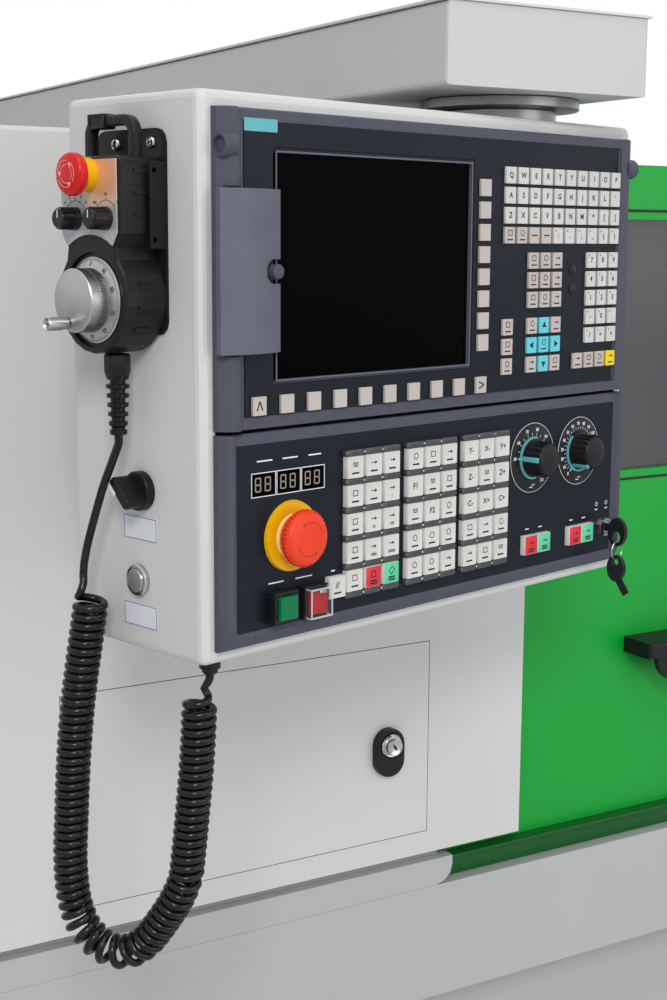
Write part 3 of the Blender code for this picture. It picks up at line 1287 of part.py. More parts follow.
def make_key_panel():
    """The key panel's face, with its keys, finger ridges, windows and the housings of two buttons."""
    top, bottom = key_panel_top, key_panel_top - KEY_PANEL_HEIGHT
    panel = piece("key_panel", panel_shape(bottom, top, LOWER_COLUMN_WIDTH), "charcoal", swivel,
                  on_front(0, 0), FACE_FRONT)
    low, slope = PANEL_THICKNESS - CHAMFER_DEPTH, CHAMFER_DEPTH / CHAMFER_HEIGHT
    reach = 3 * CHAMFER_HEIGHT
    wedge = [(bottom - OVERRUN, low - slope * OVERRUN), (bottom + reach, low + slope * reach),
             (bottom - OVERRUN, low + slope * reach)]
    cut(panel, prism(wedge, "x", -OVERRUN, PANEL_WIDTH + OVERRUN))
    windows = []
    for index in range(DISPLAY_COUNT):
        left = DISPLAY_LEFT + DISPLAY_PITCH * index
        windows.append(block((left, top - DISPLAY_TOP - DISPLAY_HEIGHT, PANEL_THICKNESS - DISPLAY_DEPTH),
                             (left + DISPLAY_WIDTH, top - DISPLAY_TOP, PANEL_THICKNESS + OVERRUN)))
    cut(panel, together(windows))
    keys, lenses = [], []
    half_row = BLOCK_ROW_PITCH / 2
    root = PANEL_THICKNESS - SINK
    for block_left in BLOCK_LEFTS:
        for column in range(BLOCK_COLUMNS):
            x = block_left + BLOCK_PITCH * column
            for row in range(BLOCK_ROWS + 1):
                y = top - BLOCK_TOP - BLOCK_ROW_PITCH * row
                if row < BLOCK_ROWS:
                    keys.append(key_cap(x, y, BIG_KEY_WIDTH, BIG_KEY_HEIGHT, BIG_KEY_RISE))
                lens = ellipse((x, y + half_row), LENS_LENGTH / 2, LENS_HEIGHT / 2, LENS_STEPS)
                lenses.append(prism(lens, "z", root, PANEL_THICKNESS + LENS_RISE))
    keys.append(key_cap(EXTRA_KEY_X, top - LAST_ROW_DROP, BIG_KEY_WIDTH, BIG_KEY_HEIGHT, BIG_KEY_RISE))
    for left in PAIR_LEFTS:
        for index in range(2):
            keys.append(key_cap(left + PAIR_PITCH * index, top - LAST_ROW_DROP, BIG_KEY_WIDTH,
                                BIG_KEY_HEIGHT, BIG_KEY_RISE))
    fuse(panel, together(keys + lenses))
    housings = []
    places = ((GREEN_X, GREEN_DROP, GREEN_HOUSING, GREEN_HOUSING_RISE),
              (RED_X, RED_DROP, RED_HOUSING, RED_HOUSING_RISE))
    for x, drop, half, rise in places:
        y = top - drop
        housings.append(block((x - half, y - half, root), (x + half, y + half, PANEL_THICKNESS + rise)))
    fuse(panel, together(housings))
    wells = []
    half = BUTTON_HALF + CLEAR
    for x, drop, _, rise in places:
        y = top - drop
        well = block((x - half, y - half, root), (x + half, y + half, PANEL_THICKNESS + rise + OVERRUN))
        wells.append(well)
    radius = STOP_STEM + CLEAR
    bore = turned([(0, -OVERRUN), (radius, -OVERRUN), (radius, PANEL_THICKNESS + OVERRUN),
                   (0, PANEL_THICKNESS + OVERRUN)], ROUND_STEPS)
    wells.append(shifted(bore, (STOP_X, top - STOP_DROP, 0)))
    cut(panel, together(wells))


def panel_place(x, drop):
    """A place on the key panel's face."""
    return on_front(x, drop - key_panel_top, PANEL_THICKNESS)


def make_push_buttons():
    names = (("green_button", GREEN_X, GREEN_DROP, GREEN_HOUSING_RISE, "green_plastic"),
             ("red_button", RED_X, RED_DROP, RED_HOUSING_RISE, "red_plastic"))
    for name, x, drop, rise, finish in names:
        half, top = BUTTON_HALF, rise + BUTTON_RISE
        shape = block((-half, -half, rise - BUTTON_ROOT), (half, half, top))
        soften(shape, KEY_TAPER, 1, at_level(top))
        piece(name, shape, finish, swivel, panel_place(x, drop), FACE_FRONT)
    hinge = panel_place(RED_X, RED_DROP - GUARD_HALF)
    half, rise = GUARD_HALF, GUARD_RISE
    guard = piece("button_guard", block((-half, -2 * half, CLEAR), (half, 0, rise)), "clear_glass", swivel,
                  hinge, FACE_FRONT)
    wall = GUARD_WALL
    cut(guard, block((wall - half, wall - 2 * half, -OVERRUN), (half - wall, -wall, rise - wall)))


def make_stop():
    ring = [(STOP_STEM + CLEAR, CLEAR), (STOP_RING_RADIUS, CLEAR),
            (STOP_RING_RADIUS - SINK, STOP_RING_THICKNESS),
            (STOP_STEM + CLEAR, STOP_RING_THICKNESS)]
    at = panel_place(STOP_X, STOP_DROP)
    piece("stop_ring", turned(ring, LARGE_STEPS, closed=True), "yellow_plastic", swivel, at, FACE_FRONT)
    profile = [(0, -STOP_ROOT), (STOP_STEM, -STOP_ROOT), (STOP_STEM, STOP_NECK_HEIGHT - SINK),
               (STOP_SHOULDER, STOP_NECK_HEIGHT),
               (STOP_SHOULDER, STOP_NECK_HEIGHT + SINK), (STOP_HEAD, STOP_NECK_HEIGHT + STOP_ROOT),
               (STOP_HEAD, STOP_HEAD_HEIGHT), (STOP_CROWN, STOP_TOP - SINK), (STOP_CROWN / 2, STOP_TOP),
               (0, STOP_TOP)]
    piece("stop_button", turned(profile, LARGE_STEPS), "red_plastic", swivel, at, FACE_FRONT)


def make_dials():
    names = ("spindle_dial", "feed_dial")
    count = DIAL_FLUTES * 2
    radii = (DIAL_RADIUS, DIAL_RADIUS - DIAL_FLUTE_DEPTH)
    outline = [(radii[i % 2] * math.cos(math.tau * i / count),
                radii[i % 2] * math.sin(math.tau * i / count))
               for i in range(count)]
    for name, x in zip(names, DIAL_PLACES):
        flange = [(0, CLEAR), (DIAL_FLANGE, CLEAR), (DIAL_FLANGE, DIAL_FLANGE_HEIGHT / 2),
                  (DIAL_RADIUS, DIAL_FLANGE_HEIGHT), (0, DIAL_FLANGE_HEIGHT)]
        dial = piece(name, turned(flange, LARGE_STEPS), "black_plastic", swivel, panel_place(x, DIAL_DROP),
                     FACE_FRONT)
        body = prism(outline, "z", DIAL_FLANGE_HEIGHT - SINK, DIAL_HEIGHT)
        fuse(dial, soften(body, SINK, 1, at_level(DIAL_HEIGHT)))


def make_key_switch():
    at = panel_place(SWITCH_X, SWITCH_DROP)
    ring = [(CORE_RADIUS + CLEAR, CLEAR), (SWITCH_RADIUS, CLEAR), (SWITCH_RADIUS - SINK, SWITCH_RISE),
            (CORE_RADIUS + CLEAR, SWITCH_RISE)]
    piece("key_switch", turned(ring, ROUND_STEPS, closed=True), "chrome", swivel, at, FACE_FRONT)
    core = turned([(0, CLEAR), (CORE_RADIUS, CLEAR), (CORE_RADIUS, CORE_RISE), (0, CORE_RISE)], SMALL_STEPS)
    core = piece("key_core", core, "steel", swivel, at, FACE_FRONT)
    half_thick, half_wide = BLADE_THICKNESS / 2, BLADE_WIDTH / 2
    cut(core,
        block((-half_thick - CLEAR, -half_wide - CLEAR, BLADE_ROOT),
              (half_thick + CLEAR, half_wide + CLEAR, CORE_RISE + OVERRUN)))
    half_bow = BOW_THICKNESS / 2
    middle = (-BOW_DROP, BOW_NEAR + BOW_LENGTH / 2)
    bow = prism(ellipse(middle, BOW_HEIGHT / 2, BOW_LENGTH / 2, ROUND_STEPS), "x", -half_bow, half_bow)
    key = piece("key", bow, "black_plastic", swivel, at, FACE_FRONT)
    hole_middle = (middle[0] - BOW_HEIGHT / 2 + BOW_RIM + BOW_HOLE_HEIGHT / 2, middle[1])
    cut(key,
        prism(ellipse(hole_middle, BOW_HOLE_HEIGHT / 2, BOW_HOLE_LENGTH / 2, SMALL_STEPS), "x", -OVERRUN,
              OVERRUN))
    fuse(key,
         block((-half_thick, -half_wide, BLADE_ROOT + CLEAR), (half_thick, half_wide, BOW_NEAR + BOW_RIM)))
    hang = middle[0] - BOW_HEIGHT / 2 + BOW_RIM
    ring_middle = hang + RING_SLACK - RING_INNER
    tube = WIRE_RADIUS
    profile = [(RING_INNER + tube + tube * math.cos(math.tau * s / 6), tube * math.sin(math.tau * s / 6))
               for s in range(6)]
    out = middle[1]
    pivot = on_front(SWITCH_X, SWITCH_DROP - key_panel_top - hang, PANEL_THICKNESS + out)
    wire = shifted(turned(profile, ROUND_STEPS, closed=True), (0, ring_middle - hang, 0))
    piece("key_ring", wire, "steel", swivel, pivot, FACE_FRONT)
    spare_hang = ring_middle - RING_INNER + RING_SLACK
    half_spare = SPARE_HEIGHT / 2
    spare_middle = SPARE_RIM - half_spare
    spare = prism(ellipse((spare_middle, 0), half_spare, SPARE_LENGTH / 2, ROUND_STEPS), "x", -half_bow,
                  half_bow)
    spare_at = on_front(SWITCH_X, SWITCH_DROP - key_panel_top - spare_hang, PANEL_THICKNESS + out)
    spare_key = piece("spare_key", spare, "black_plastic", swivel, spare_at, FACE_FRONT)
    cut(spare_key,
        prism(ellipse((-SPARE_HOLE / 2, 0), SPARE_HOLE / 2, SPARE_HOLE / 2, SMALL_STEPS), "x", -OVERRUN,
              OVERRUN))
    blade_top = spare_middle - half_spare / 2
    blade = block((-half_thick, blade_top - SPARE_BLADE_LENGTH, -half_wide),
                  (half_thick, blade_top, half_wide))
    fuse(spare_key, rotated(blade, "X", -SPARE_TILT, (0, blade_top, 0)))


def make_bracket():
    """Back plate with round upper corners and a bent flange that has two holes."""
    low = (-BRACKET_TOP - BRACKET_HEIGHT, BRACKET_FRONT)
    high = (-BRACKET_TOP, BRACKET_FRONT + BRACKET_WIDTH)
    outline = rounded_rectangle(low, high, BRACKET_CORNER)
    bracket = piece("holder_bracket", prism(outline, "z", CLEAR, BRACKET_SHEET), "black_plastic", swivel,
                    on_side(0, 0), FACE_SIDE)
    bottom, top = -FLANGE_TOP - FLANGE_HEIGHT, -FLANGE_TOP
    thick = BRACKET_SHEET
    fuse(bracket,
         block((bottom + thick, BRACKET_FRONT + CLEAR, CLEAR),
               (top - thick, BRACKET_FRONT + thick, FLANGE_REACH)))
    holes = []
    for level in (bottom + FLANGE_HOLE_INSET, top - FLANGE_HOLE_INSET):
        outline = ellipse((level, FLANGE_REACH - FLANGE_HOLE_INSET / 2), FLANGE_HOLE, FLANGE_HOLE,
                          SMALL_STEPS)
        holes.append(prism(outline, "y", BRACKET_FRONT - OVERRUN, BRACKET_FRONT + thick + OVERRUN))
    cut(bracket, together(holes))


def hand_outline():
    """Outline of the handheld housing as (up, back): square shoulders, a waist and a round lower end."""
    middle, half, corner = HAND_MIDDLE_Y, HAND_HALF_WIDTH, HAND_CORNER
    start = HAND_ROUND_START
    round_centre = (-HAND_ROUND_DROP, middle)
    points = arc((-HAND_TOP - corner, middle + half - corner), corner, 0, math.pi / 2, CORNER_STEPS)
    points += [(-HAND_SHOULDER, middle + half), (-HAND_WAIST, middle + HAND_WAIST_HALF)]
    points += arc(round_centre, HAND_ROUND, start, math.tau - start, HAND_ROUND_STEPS)
    points += [(-HAND_WAIST, middle - HAND_WAIST_HALF), (-HAND_SHOULDER, middle - half)]
    points += arc((-HAND_TOP - corner, middle - half + corner), corner, -math.pi / 2, 0, CORNER_STEPS)
    return points


def make_handheld():
    housing = prism(hand_outline(), "z", HAND_GAP, HAND_FRONT)
    soften(housing, HAND_EDGE, 2, at_level(HAND_FRONT))
    body = piece("handheld_housing", housing, "black_plastic", swivel, on_side(0, 0), FACE_SIDE)
    profile = [(0, HAND_FRONT - DISH_DEPTH), (DISH_RADIUS, HAND_FRONT - DISH_DEPTH),
               (DISH_RADIUS, HAND_FRONT + OVERRUN),
               (0, HAND_FRONT + OVERRUN)]
    dish = shifted(turned(profile, LARGE_STEPS), (-WHEEL_DROP, WHEEL_Y, 0))
    depth = SLEEVE_ROOT + 2 * HAND_STOP_PRESS
    profile = [(0, HAND_FRONT - depth), (SLEEVE_RADIUS + CLEAR, HAND_FRONT - depth),
               (SLEEVE_RADIUS + CLEAR, HAND_FRONT + OVERRUN), (0, HAND_FRONT + OVERRUN)]
    well = shifted(turned(profile, ROUND_STEPS), (-HAND_STOP_DROP, HAND_STOP_Y, 0))
    cut(body, together([dish, well]))
    ribs = []
    for index, drop in enumerate(GROOVE_DROPS):
        upper = drop < HAND_SHOULDER
        reach = HAND_HALF_WIDTH if upper else math.sqrt(HAND_ROUND ** 2 - (drop - HAND_ROUND_DROP) ** 2)
        for side in (-1, 1):
            edge = HAND_MIDDLE_Y + side * reach
            low, high = sorted((edge - side * HAND_CORNER, edge + side * RIB_RISE))
            ribs.append(block((-drop - RIB_HEIGHT / 2, low, RIB_OUT),
                              (-drop + RIB_HEIGHT / 2, high, RIB_OUT + RIB_LENGTH)))
    fuse(body, together(ribs))
    make_handheld_plate()
    half, hole = GRIP_HALF_WIDTH, GRIP_OPENING_HALF
    bottom, top = CLEAR - HAND_TOP, GRIP_HEIGHT - HAND_TOP
    middle, corner = HAND_MIDDLE_Y, GRIP_CORNER
    outline = [(bottom, middle - half)]
    outline += arc((top - corner, middle - half + corner), corner, -math.pi / 2, 0, CORNER_STEPS)
    outline += arc((top - corner, middle + half - corner), corner, 0, math.pi / 2, CORNER_STEPS)
    outline += [(bottom, middle + half), (bottom, middle + hole)]
    small = corner - GRIP_BAR / 2
    inner_top = top - GRIP_BAR
    outline += arc((inner_top - small, middle + hole - small), small, math.pi / 2, 0, CORNER_STEPS)
    outline += arc((inner_top - small, middle - hole + small), small, 0, -math.pi / 2, CORNER_STEPS)
    outline += [(bottom, middle - hole)]
    piece("handheld_handle", prism(outline, "z", GRIP_OUT, GRIP_OUT + GRIP_DEPTH), "black_plastic", swivel,
          on_side(0, 0), FACE_SIDE)


def make_handheld_plate():
    """Thin face plate whose lower edge is hollowed round the handwheel."""
    middle, half = HAND_MIDDLE_Y, HAND_HALF_WIDTH - HAND_EDGE
    inset = PLATE_INSET
    waist = HAND_WAIST_HALF - inset
    low = -HAND_WAIST + inset
    top = -HAND_TOP - HAND_EDGE
    centre = (-WHEEL_DROP, WHEEL_Y)
    reach = low - centre[0]
    swing = math.acos(reach / PLATE_ARC)
    outline = [(top, middle - half), (top, middle + half), (-HAND_SHOULDER, middle + half),
               (low, middle + waist)]
    outline += arc(centre, PLATE_ARC, swing, -swing, PLATE_ARC_STEPS)
    outline += [(low, middle - waist), (-HAND_SHOULDER, middle - half)]
    plate = piece("handheld_plate", prism(outline, "z", HAND_FRONT + CLEAR, plate_front), "aluminium",
                  swivel,
                  on_side(0, 0), FACE_SIDE)
    profile = [(0, HAND_FRONT - OVERRUN), (SLEEVE_RADIUS + CLEAR, HAND_FRONT - OVERRUN),
               (SLEEVE_RADIUS + CLEAR, plate_front + OVERRUN), (0, plate_front + OVERRUN)]
    cut(plate, shifted(turned(profile, ROUND_STEPS), (-HAND_STOP_DROP, HAND_STOP_Y, 0)))


def make_handheld_controls():
    top = HAND_STOP_RISE
    edge = HAND_STOP_CROWN
    profile = [(0, -SLEEVE_ROOT), (SLEEVE_RADIUS, -SLEEVE_ROOT), (SLEEVE_RADIUS, SLEEVE_RISE),
               (HAND_STOP_HEAD, SLEEVE_RISE + SINK),
               (HAND_STOP_HEAD, top - HAND_STOP_PRESS), (edge, top - SINK), (edge / 2, top), (0, top)]
    piece("handheld_stop", turned(profile, LARGE_STEPS), "red_plastic", swivel,
          on_side(HAND_STOP_Y, HAND_STOP_DROP, plate_front), FACE_SIDE)
    for name, back in zip(("axis_knob", "step_knob"), KNOB_PLACES):
        profile = [(0, CLEAR), (SMALL_KNOB_RADIUS, CLEAR),
                   (SMALL_KNOB_TOP_RADIUS, SMALL_KNOB_LENGTH - SINK),
                   (SMALL_KNOB_TOP_RADIUS - SINK, SMALL_KNOB_LENGTH), (0, SMALL_KNOB_LENGTH)]
        piece(name, turned(profile, ROUND_STEPS), "black_plastic", swivel,
              on_side(back, SMALL_KNOB_DROP, plate_front), FACE_SIDE)
    floor = HAND_FRONT - DISH_DEPTH
    drum = DRUM_RISE
    profile = [(0, CLEAR), (SCALE_RADIUS, CLEAR), (SCALE_RADIUS, SCALE_RISE),
               (DRUM_RADIUS + DRUM_EDGE, SCALE_RISE + DRUM_EDGE),
               (DRUM_RADIUS, SCALE_RISE + 2 * DRUM_EDGE), (DRUM_RADIUS, drum - DRUM_EDGE),
               (DRUM_RADIUS - DRUM_EDGE, drum), (0, drum)]
    piece("handwheel", turned(profile, LARGE_STEPS), "aluminium", swivel,
          on_side(WHEEL_Y, WHEEL_DROP, floor), FACE_SIDE)
    top = CRANK_LENGTH
    profile = [(0, CLEAR), (CRANK_RADIUS, CLEAR), (CRANK_RADIUS, top - SINK), (CRANK_RADIUS - SINK, top),
               (CRANK_RADIUS / 2, top), (CRANK_RADIUS / 2, top - SINK), (0, top - SINK)]
    piece("crank_knob", turned(profile, SMALL_STEPS), "aluminium", swivel,
          on_side(WHEEL_Y + CRANK_BACK, WHEEL_DROP + CRANK_DOWN, floor + drum), FACE_SIDE)


def make_cord_gland():
    nut, root, rib = HAND_GLAND_NUT, BOOT_ROOT, BOOT_RADIUS
    profile = [(0, CLEAR), (nut, CLEAR), (nut, HAND_GLAND_NUT_LENGTH), (root, HAND_GLAND_NUT_LENGTH)]
    taper = (BOOT_RADIUS - BOOT_COLLAR) / BOOT_RIBS
    for index in range(BOOT_RIBS):
        start = HAND_GLAND_NUT_LENGTH + BOOT_RIB_PITCH * index
        outer = rib - taper * index
        inner = root - taper * index
        steps = [start + BOOT_RIB_PITCH * share for share in BOOT_RIB_SHARES]
        profile += list(zip((inner, outer, outer, inner), steps))
    end = HAND_GLAND_NUT_LENGTH + BOOT_RIB_PITCH * BOOT_RIBS + BOOT_TAIL
    profile += [(BOOT_COLLAR, end), (BOOT_COLLAR, end + BOOT_COLLAR_LENGTH), (0, end + BOOT_COLLAR_LENGTH)]
    bottom = -HAND_ROUND_DROP - HAND_ROUND
    at = on_pendant(-CABINET_MARGIN - HAND_GLAND_OUT, HAND_GLAND_Y, bottom)
    piece("cord_gland", turned(profile, SMALL_STEPS), "black_plastic", swivel, at, FACE_DOWN)
    return end + BOOT_COLLAR_LENGTH - bottom


def make_side_switches():
    half_length, half_width = SELECTOR_BAR_LENGTH / 2, SELECTOR_BAR_WIDTH / 2
    skirt = [(0, CLEAR), (SELECTOR_RADIUS, CLEAR), (SELECTOR_RADIUS, SELECTOR_SKIRT - SINK),
             (SELECTOR_RADIUS - SINK, SELECTOR_SKIRT),
             (0, SELECTOR_SKIRT)]
    selector = piece("selector", turned(skirt, ROUND_STEPS), "black_plastic", swivel,
                     on_side(SELECTOR_Y, SELECTOR_DROP), FACE_SIDE)
    bar = prism(rounded_rectangle((-half_length, -half_width), (half_length, half_width), half_width - SINK),
                "z",
                SELECTOR_SKIRT - SINK, SELECTOR_REACH)
    fuse(selector, rotated(soften(bar, SINK, 1, at_level(SELECTOR_REACH)), "Z", SELECTOR_TURN))
    bore = RESET_RADIUS + CLEAR
    bezel = [(bore, CLEAR), (BEZEL_RADIUS, CLEAR), (BEZEL_RADIUS, BEZEL_RISE - SINK),
             (BEZEL_RADIUS - SINK, BEZEL_RISE), (bore, BEZEL_RISE)]
    at = on_side(RESET_Y, RESET_DROP)
    piece("reset_bezel", turned(bezel, ROUND_STEPS, closed=True), "chrome", swivel, at, FACE_SIDE)
    button = [(0, RESET_ROOT), (RESET_RADIUS, RESET_ROOT), (RESET_RADIUS, RESET_RISE - SINK),
              (RESET_RADIUS - SINK, RESET_RISE),
              (0, RESET_RISE)]
    piece("reset_button", turned(button, ROUND_STEPS), "steel", swivel, at, FACE_SIDE)


# Cord
def smooth_route(points, step):
    """Points about a step apart on the smooth curve through the route's own points."""
    points = [Vector(point) for point in points]
    padded = [2 * points[0] - points[1]] + points + [2 * points[-1] - points[-2]]
    route = []
    for before, start, end, after in zip(padded, padded[1:], padded[2:], padded[3:]):
        count = max(1, round((end - start).length / step))
        for index in range(count):
            t = index / count
            spot = 2 * start + (end - before) * t + (2 * before - 5 * start + 4 * end - after) * t ** 2
            route.append((spot + (3 * start - before - 3 * end + after) * t ** 3) / 2)
    return route + [points[-1]]


def make_tube(name, points, radius, step):
    curve = bpy.data.curves.new(name, "CURVE")
    curve.dimensions = "3D"
    curve.bevel_depth = radius
    curve.bevel_resolution = CORD_FACES
    curve.use_fill_caps = True
    route = smooth_route(points, step)
    spline = curve.splines.new("POLY")
    spline.points.add(len(route) - 1)
    for point, spot in zip(spline.points, route):
        point.co = (*spot, 1)
    curve.materials.append(FINISHES["black_plastic"])
    made = bpy.data.objects.new(name, curve)
    bpy.context.scene.collection.objects.link(made)
    made.parent = swivel
    made.location = on_pendant(0, 0, 0)


make_pedestal()
make_chip_tray()
make_plinth_strip()
make_left_cover()
make_hatch()
make_right_cover()
make_rear_guard()
make_door_sill()
make_door()
make_bed()
make_headstock()
make_chuck()
make_saddle()
make_cross_slide()
make_turret()
make_tailstock()
make_arm()
make_cabinet()
make_screen_unit()
make_flap()
make_key_panel()
make_push_buttons()
make_stop()
make_dials()
make_key_switch()
make_bracket()
make_handheld()
make_handheld_controls()
make_cord_gland()
make_side_switches()
cord_step = 2 * CORD_RADIUS * CORD_STEP_DIAMETERS
make_tube("cord_lead_upper", UPPER_ROUTE, CORD_RADIUS, cord_step)
make_tube("cord_coil", COIL_ROUTE, COIL_RADIUS, COIL_STEP)
make_tube("cord_lead_lower", LOWER_ROUTE, CORD_RADIUS, cord_step)
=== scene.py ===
# %% [markdown]
# A lathe with its control pendant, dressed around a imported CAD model. The CAD gives every solid and
# every joint. This script adds the camera, the light, the finishes and the small pieces that a person
# sees from close by. All lengths are metres, Z is up, and the operator stands at -Y.

# %% Load the frame
import math

import bpy
from mathutils import Matrix, Vector


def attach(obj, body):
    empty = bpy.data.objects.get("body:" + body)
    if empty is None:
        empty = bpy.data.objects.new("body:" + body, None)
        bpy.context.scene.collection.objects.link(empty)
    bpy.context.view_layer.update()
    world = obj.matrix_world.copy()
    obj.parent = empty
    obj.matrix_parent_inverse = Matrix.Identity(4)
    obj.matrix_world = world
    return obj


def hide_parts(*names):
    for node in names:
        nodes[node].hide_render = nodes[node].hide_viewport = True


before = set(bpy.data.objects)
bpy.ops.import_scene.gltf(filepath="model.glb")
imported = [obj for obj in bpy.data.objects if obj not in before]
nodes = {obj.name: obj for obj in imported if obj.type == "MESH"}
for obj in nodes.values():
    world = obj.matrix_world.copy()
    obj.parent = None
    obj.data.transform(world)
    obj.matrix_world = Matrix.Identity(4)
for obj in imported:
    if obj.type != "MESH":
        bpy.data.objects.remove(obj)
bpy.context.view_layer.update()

MM = 0.001

# %% [markdown]
# The photograph was taken by a person who stood at the left front, a little below the pendant's top.
# The camera could be placed by eye, but a place found from the pendant's known corners is exact. The
# sensor width belongs to the long side of the picture, so the lens is written for 1000 pixels.

# %% Camera
CAMERA_PLACE = (-1.401, -1.829, 1.372)
CAMERA_PITCH = math.radians(90 - 9.579)
CAMERA_HEADING = math.radians(-30.66)
CAMERA_ROLL = math.radians(0.312)
SENSOR = 36.0
FOCAL_PIXELS, LONG_SIDE_PIXELS = 1543.9, 1000

lens = bpy.data.cameras.new("photo_camera")
lens.sensor_width = SENSOR
lens.lens = FOCAL_PIXELS / LONG_SIDE_PIXELS * SENSOR
lens.clip_start, lens.clip_end = 0.01, 60
camera = bpy.data.objects.new("photo_camera", lens)
bpy.context.scene.collection.objects.link(camera)
aim = Matrix.Rotation(CAMERA_HEADING, 4, "Z") @ Matrix.Rotation(CAMERA_PITCH, 4, "X")
camera.matrix_world = Matrix.Translation(CAMERA_PLACE) @ aim @ Matrix.Rotation(CAMERA_ROLL, 4, "Z")
bpy.context.scene.camera = camera
print("lens", round(lens.lens, 2), "mm")

# %% [markdown]
# The pendant hangs on a swivel and is turned 14.5 degrees at rest. Drawing its pieces straight in the
# room would mean turning every number. Instead there are drawing boards: the pendant itself, its front
# as (right, up, out), its left side as (up, back, out), and the faces of its two panels. A piece is
# drawn on a board at the origin, and the board's matrix then carries it into place.

# %% Drawing boards on the pendant
REST_SWING = math.radians(14.5)
SWIVEL_AXIS = Vector((-0.568, -0.705, 1.46))
AXIS_ON_PENDANT = Vector((0.392, 0.069, 0))
SIDE_OUT = 0.0104
PANEL_FACE = 0.009
KEY_PANEL_TOP = -0.223

swing = Matrix.Rotation(REST_SWING, 4, "Z")
pendant_board = Matrix.Translation(SWIVEL_AXIS) @ swing @ Matrix.Translation(-AXIS_ON_PENDANT)
front_board = pendant_board @ Matrix.Rotation(math.radians(90), 4, "X")
side_board = pendant_board @ Matrix.Translation((-SIDE_OUT, 0, 0))
side_board = side_board @ Matrix.Rotation(math.radians(-90), 4, "Y")
face_board = front_board @ Matrix.Translation((0, 0, PANEL_FACE))
lower_board = face_board @ Matrix.Translation((0, KEY_PANEL_TOP, 0))
print("the pendant's corner is at", tuple(round(c, 3) for c in pendant_board.translation))

# %% [markdown]
# The handheld unit hangs on a curly cord. A real one is extruded, wound on a rod and baked, so it keeps
# its turns when it hangs. Here it is one open curve. The straight ends follow listed points, and the
# turns are worked out by a loop around the middle line of the coil. Where the coil bends, its inner side
# closes up, so the pitch grows there and no turn runs into the next one. At both ends the turns open
# slowly out of the straight cord.

# %% Curly cord
CORD_DIAMETER = 6.2 * MM
TURN_RADIUS = 10.35 * MM
TURN_GAP = 0.35 * MM
POINTS_PER_TURN = 16
ROUTE_STEP = 1.0 * MM
OPENING = 24 * MM
SLOW_WIND = 0.12
BEND_SPARE = 1.1
SHARPEST_BEND = 0.08 / MM
NO_LENGTH = 1e-9
UPPER_ROUTE = (
    (-0.029, 0.069, -0.2268), (-0.029, 0.069, -0.232), (-0.0325, 0.0722, -0.2450),
    (-0.0352, 0.0800, -0.2640), (-0.0362, 0.0900, -0.2880), (-0.0358, 0.0992, -0.3080),
    (-0.0350, 0.1055, -0.3240), (-0.0345, 0.1072, -0.3310),
)
COIL_ROUTE = (
    (-0.0345, 0.1074, -0.3322), (-0.0342, 0.1060, -0.3390), (-0.0340, 0.1015, -0.3470),
    (-0.0342, 0.1003, -0.3560), (-0.039, 0.1089, -0.4177), (-0.0411, 0.1125, -0.4511),
    (-0.0425, 0.1151, -0.4849), (-0.0435, 0.1169, -0.5189), (-0.0444, 0.1184, -0.5532),
    (-0.0438, 0.1174, -0.579), (-0.0421, 0.1144, -0.5959), (-0.0393, 0.1094, -0.6091),
    (-0.0351, 0.1019, -0.6185), (-0.03, 0.0929, -0.6242), (-0.0248, 0.0837, -0.6256),
    (-0.0196, 0.0745, -0.6226), (-0.0148, 0.066, -0.6153), (-0.0109, 0.059, -0.6057),
    (-0.0065, 0.0512, -0.5926), (-0.0021, 0.0435, -0.578), (0.0015, 0.0372, -0.5603),
    (0.0027, 0.035, -0.5432), (0.0045, 0.0318, -0.5094), (0.0061, 0.029, -0.4761),
    (0.0072, 0.027, -0.4432), (0.0079, 0.0258, -0.4155), (0.0090, 0.0230, -0.4095),
    (0.0104, 0.0194, -0.4060),
)
LOWER_ROUTE = ((0.0104, 0.0194, -0.4060), (0.0109, 0.0184, -0.4035), (0.011, 0.018, -0.4004))


def smooth_route(points, step):
    """Points about a step apart on the smooth curve through the route's own points."""
    points = [Vector(point) for point in points]
    padded = [2 * points[0] - points[1]] + points + [2 * points[-1] - points[-2]]
    route = []
    for before, start, end, after in zip(padded, padded[1:], padded[2:], padded[3:]):
        count = max(1, round((end - start).length / step))
        for index in range(count):
            t = index / count
            spot = 2 * start + (end - before) * t + (2 * before - 5 * start + 4 * end - after) * t ** 2
            route.append((spot + (3 * start - before - 3 * end + after) * t ** 3) / 2)
    return route + [points[-1]]


def carried_frames(route):
    """A direction across the route at each point, carried along without twisting."""
    directions = [(b - a).normalized() for a, b in zip(route, route[1:])]
    directions.append(directions[-1])
    across = directions[0].orthogonal().normalized()
    frames = []
    for before, direction in zip([directions[0]] + directions, directions):
        across = before.rotation_difference(direction) @ across
        across = (across - direction * across.dot(direction)).normalized()
        frames.append((direction, across))
    return frames


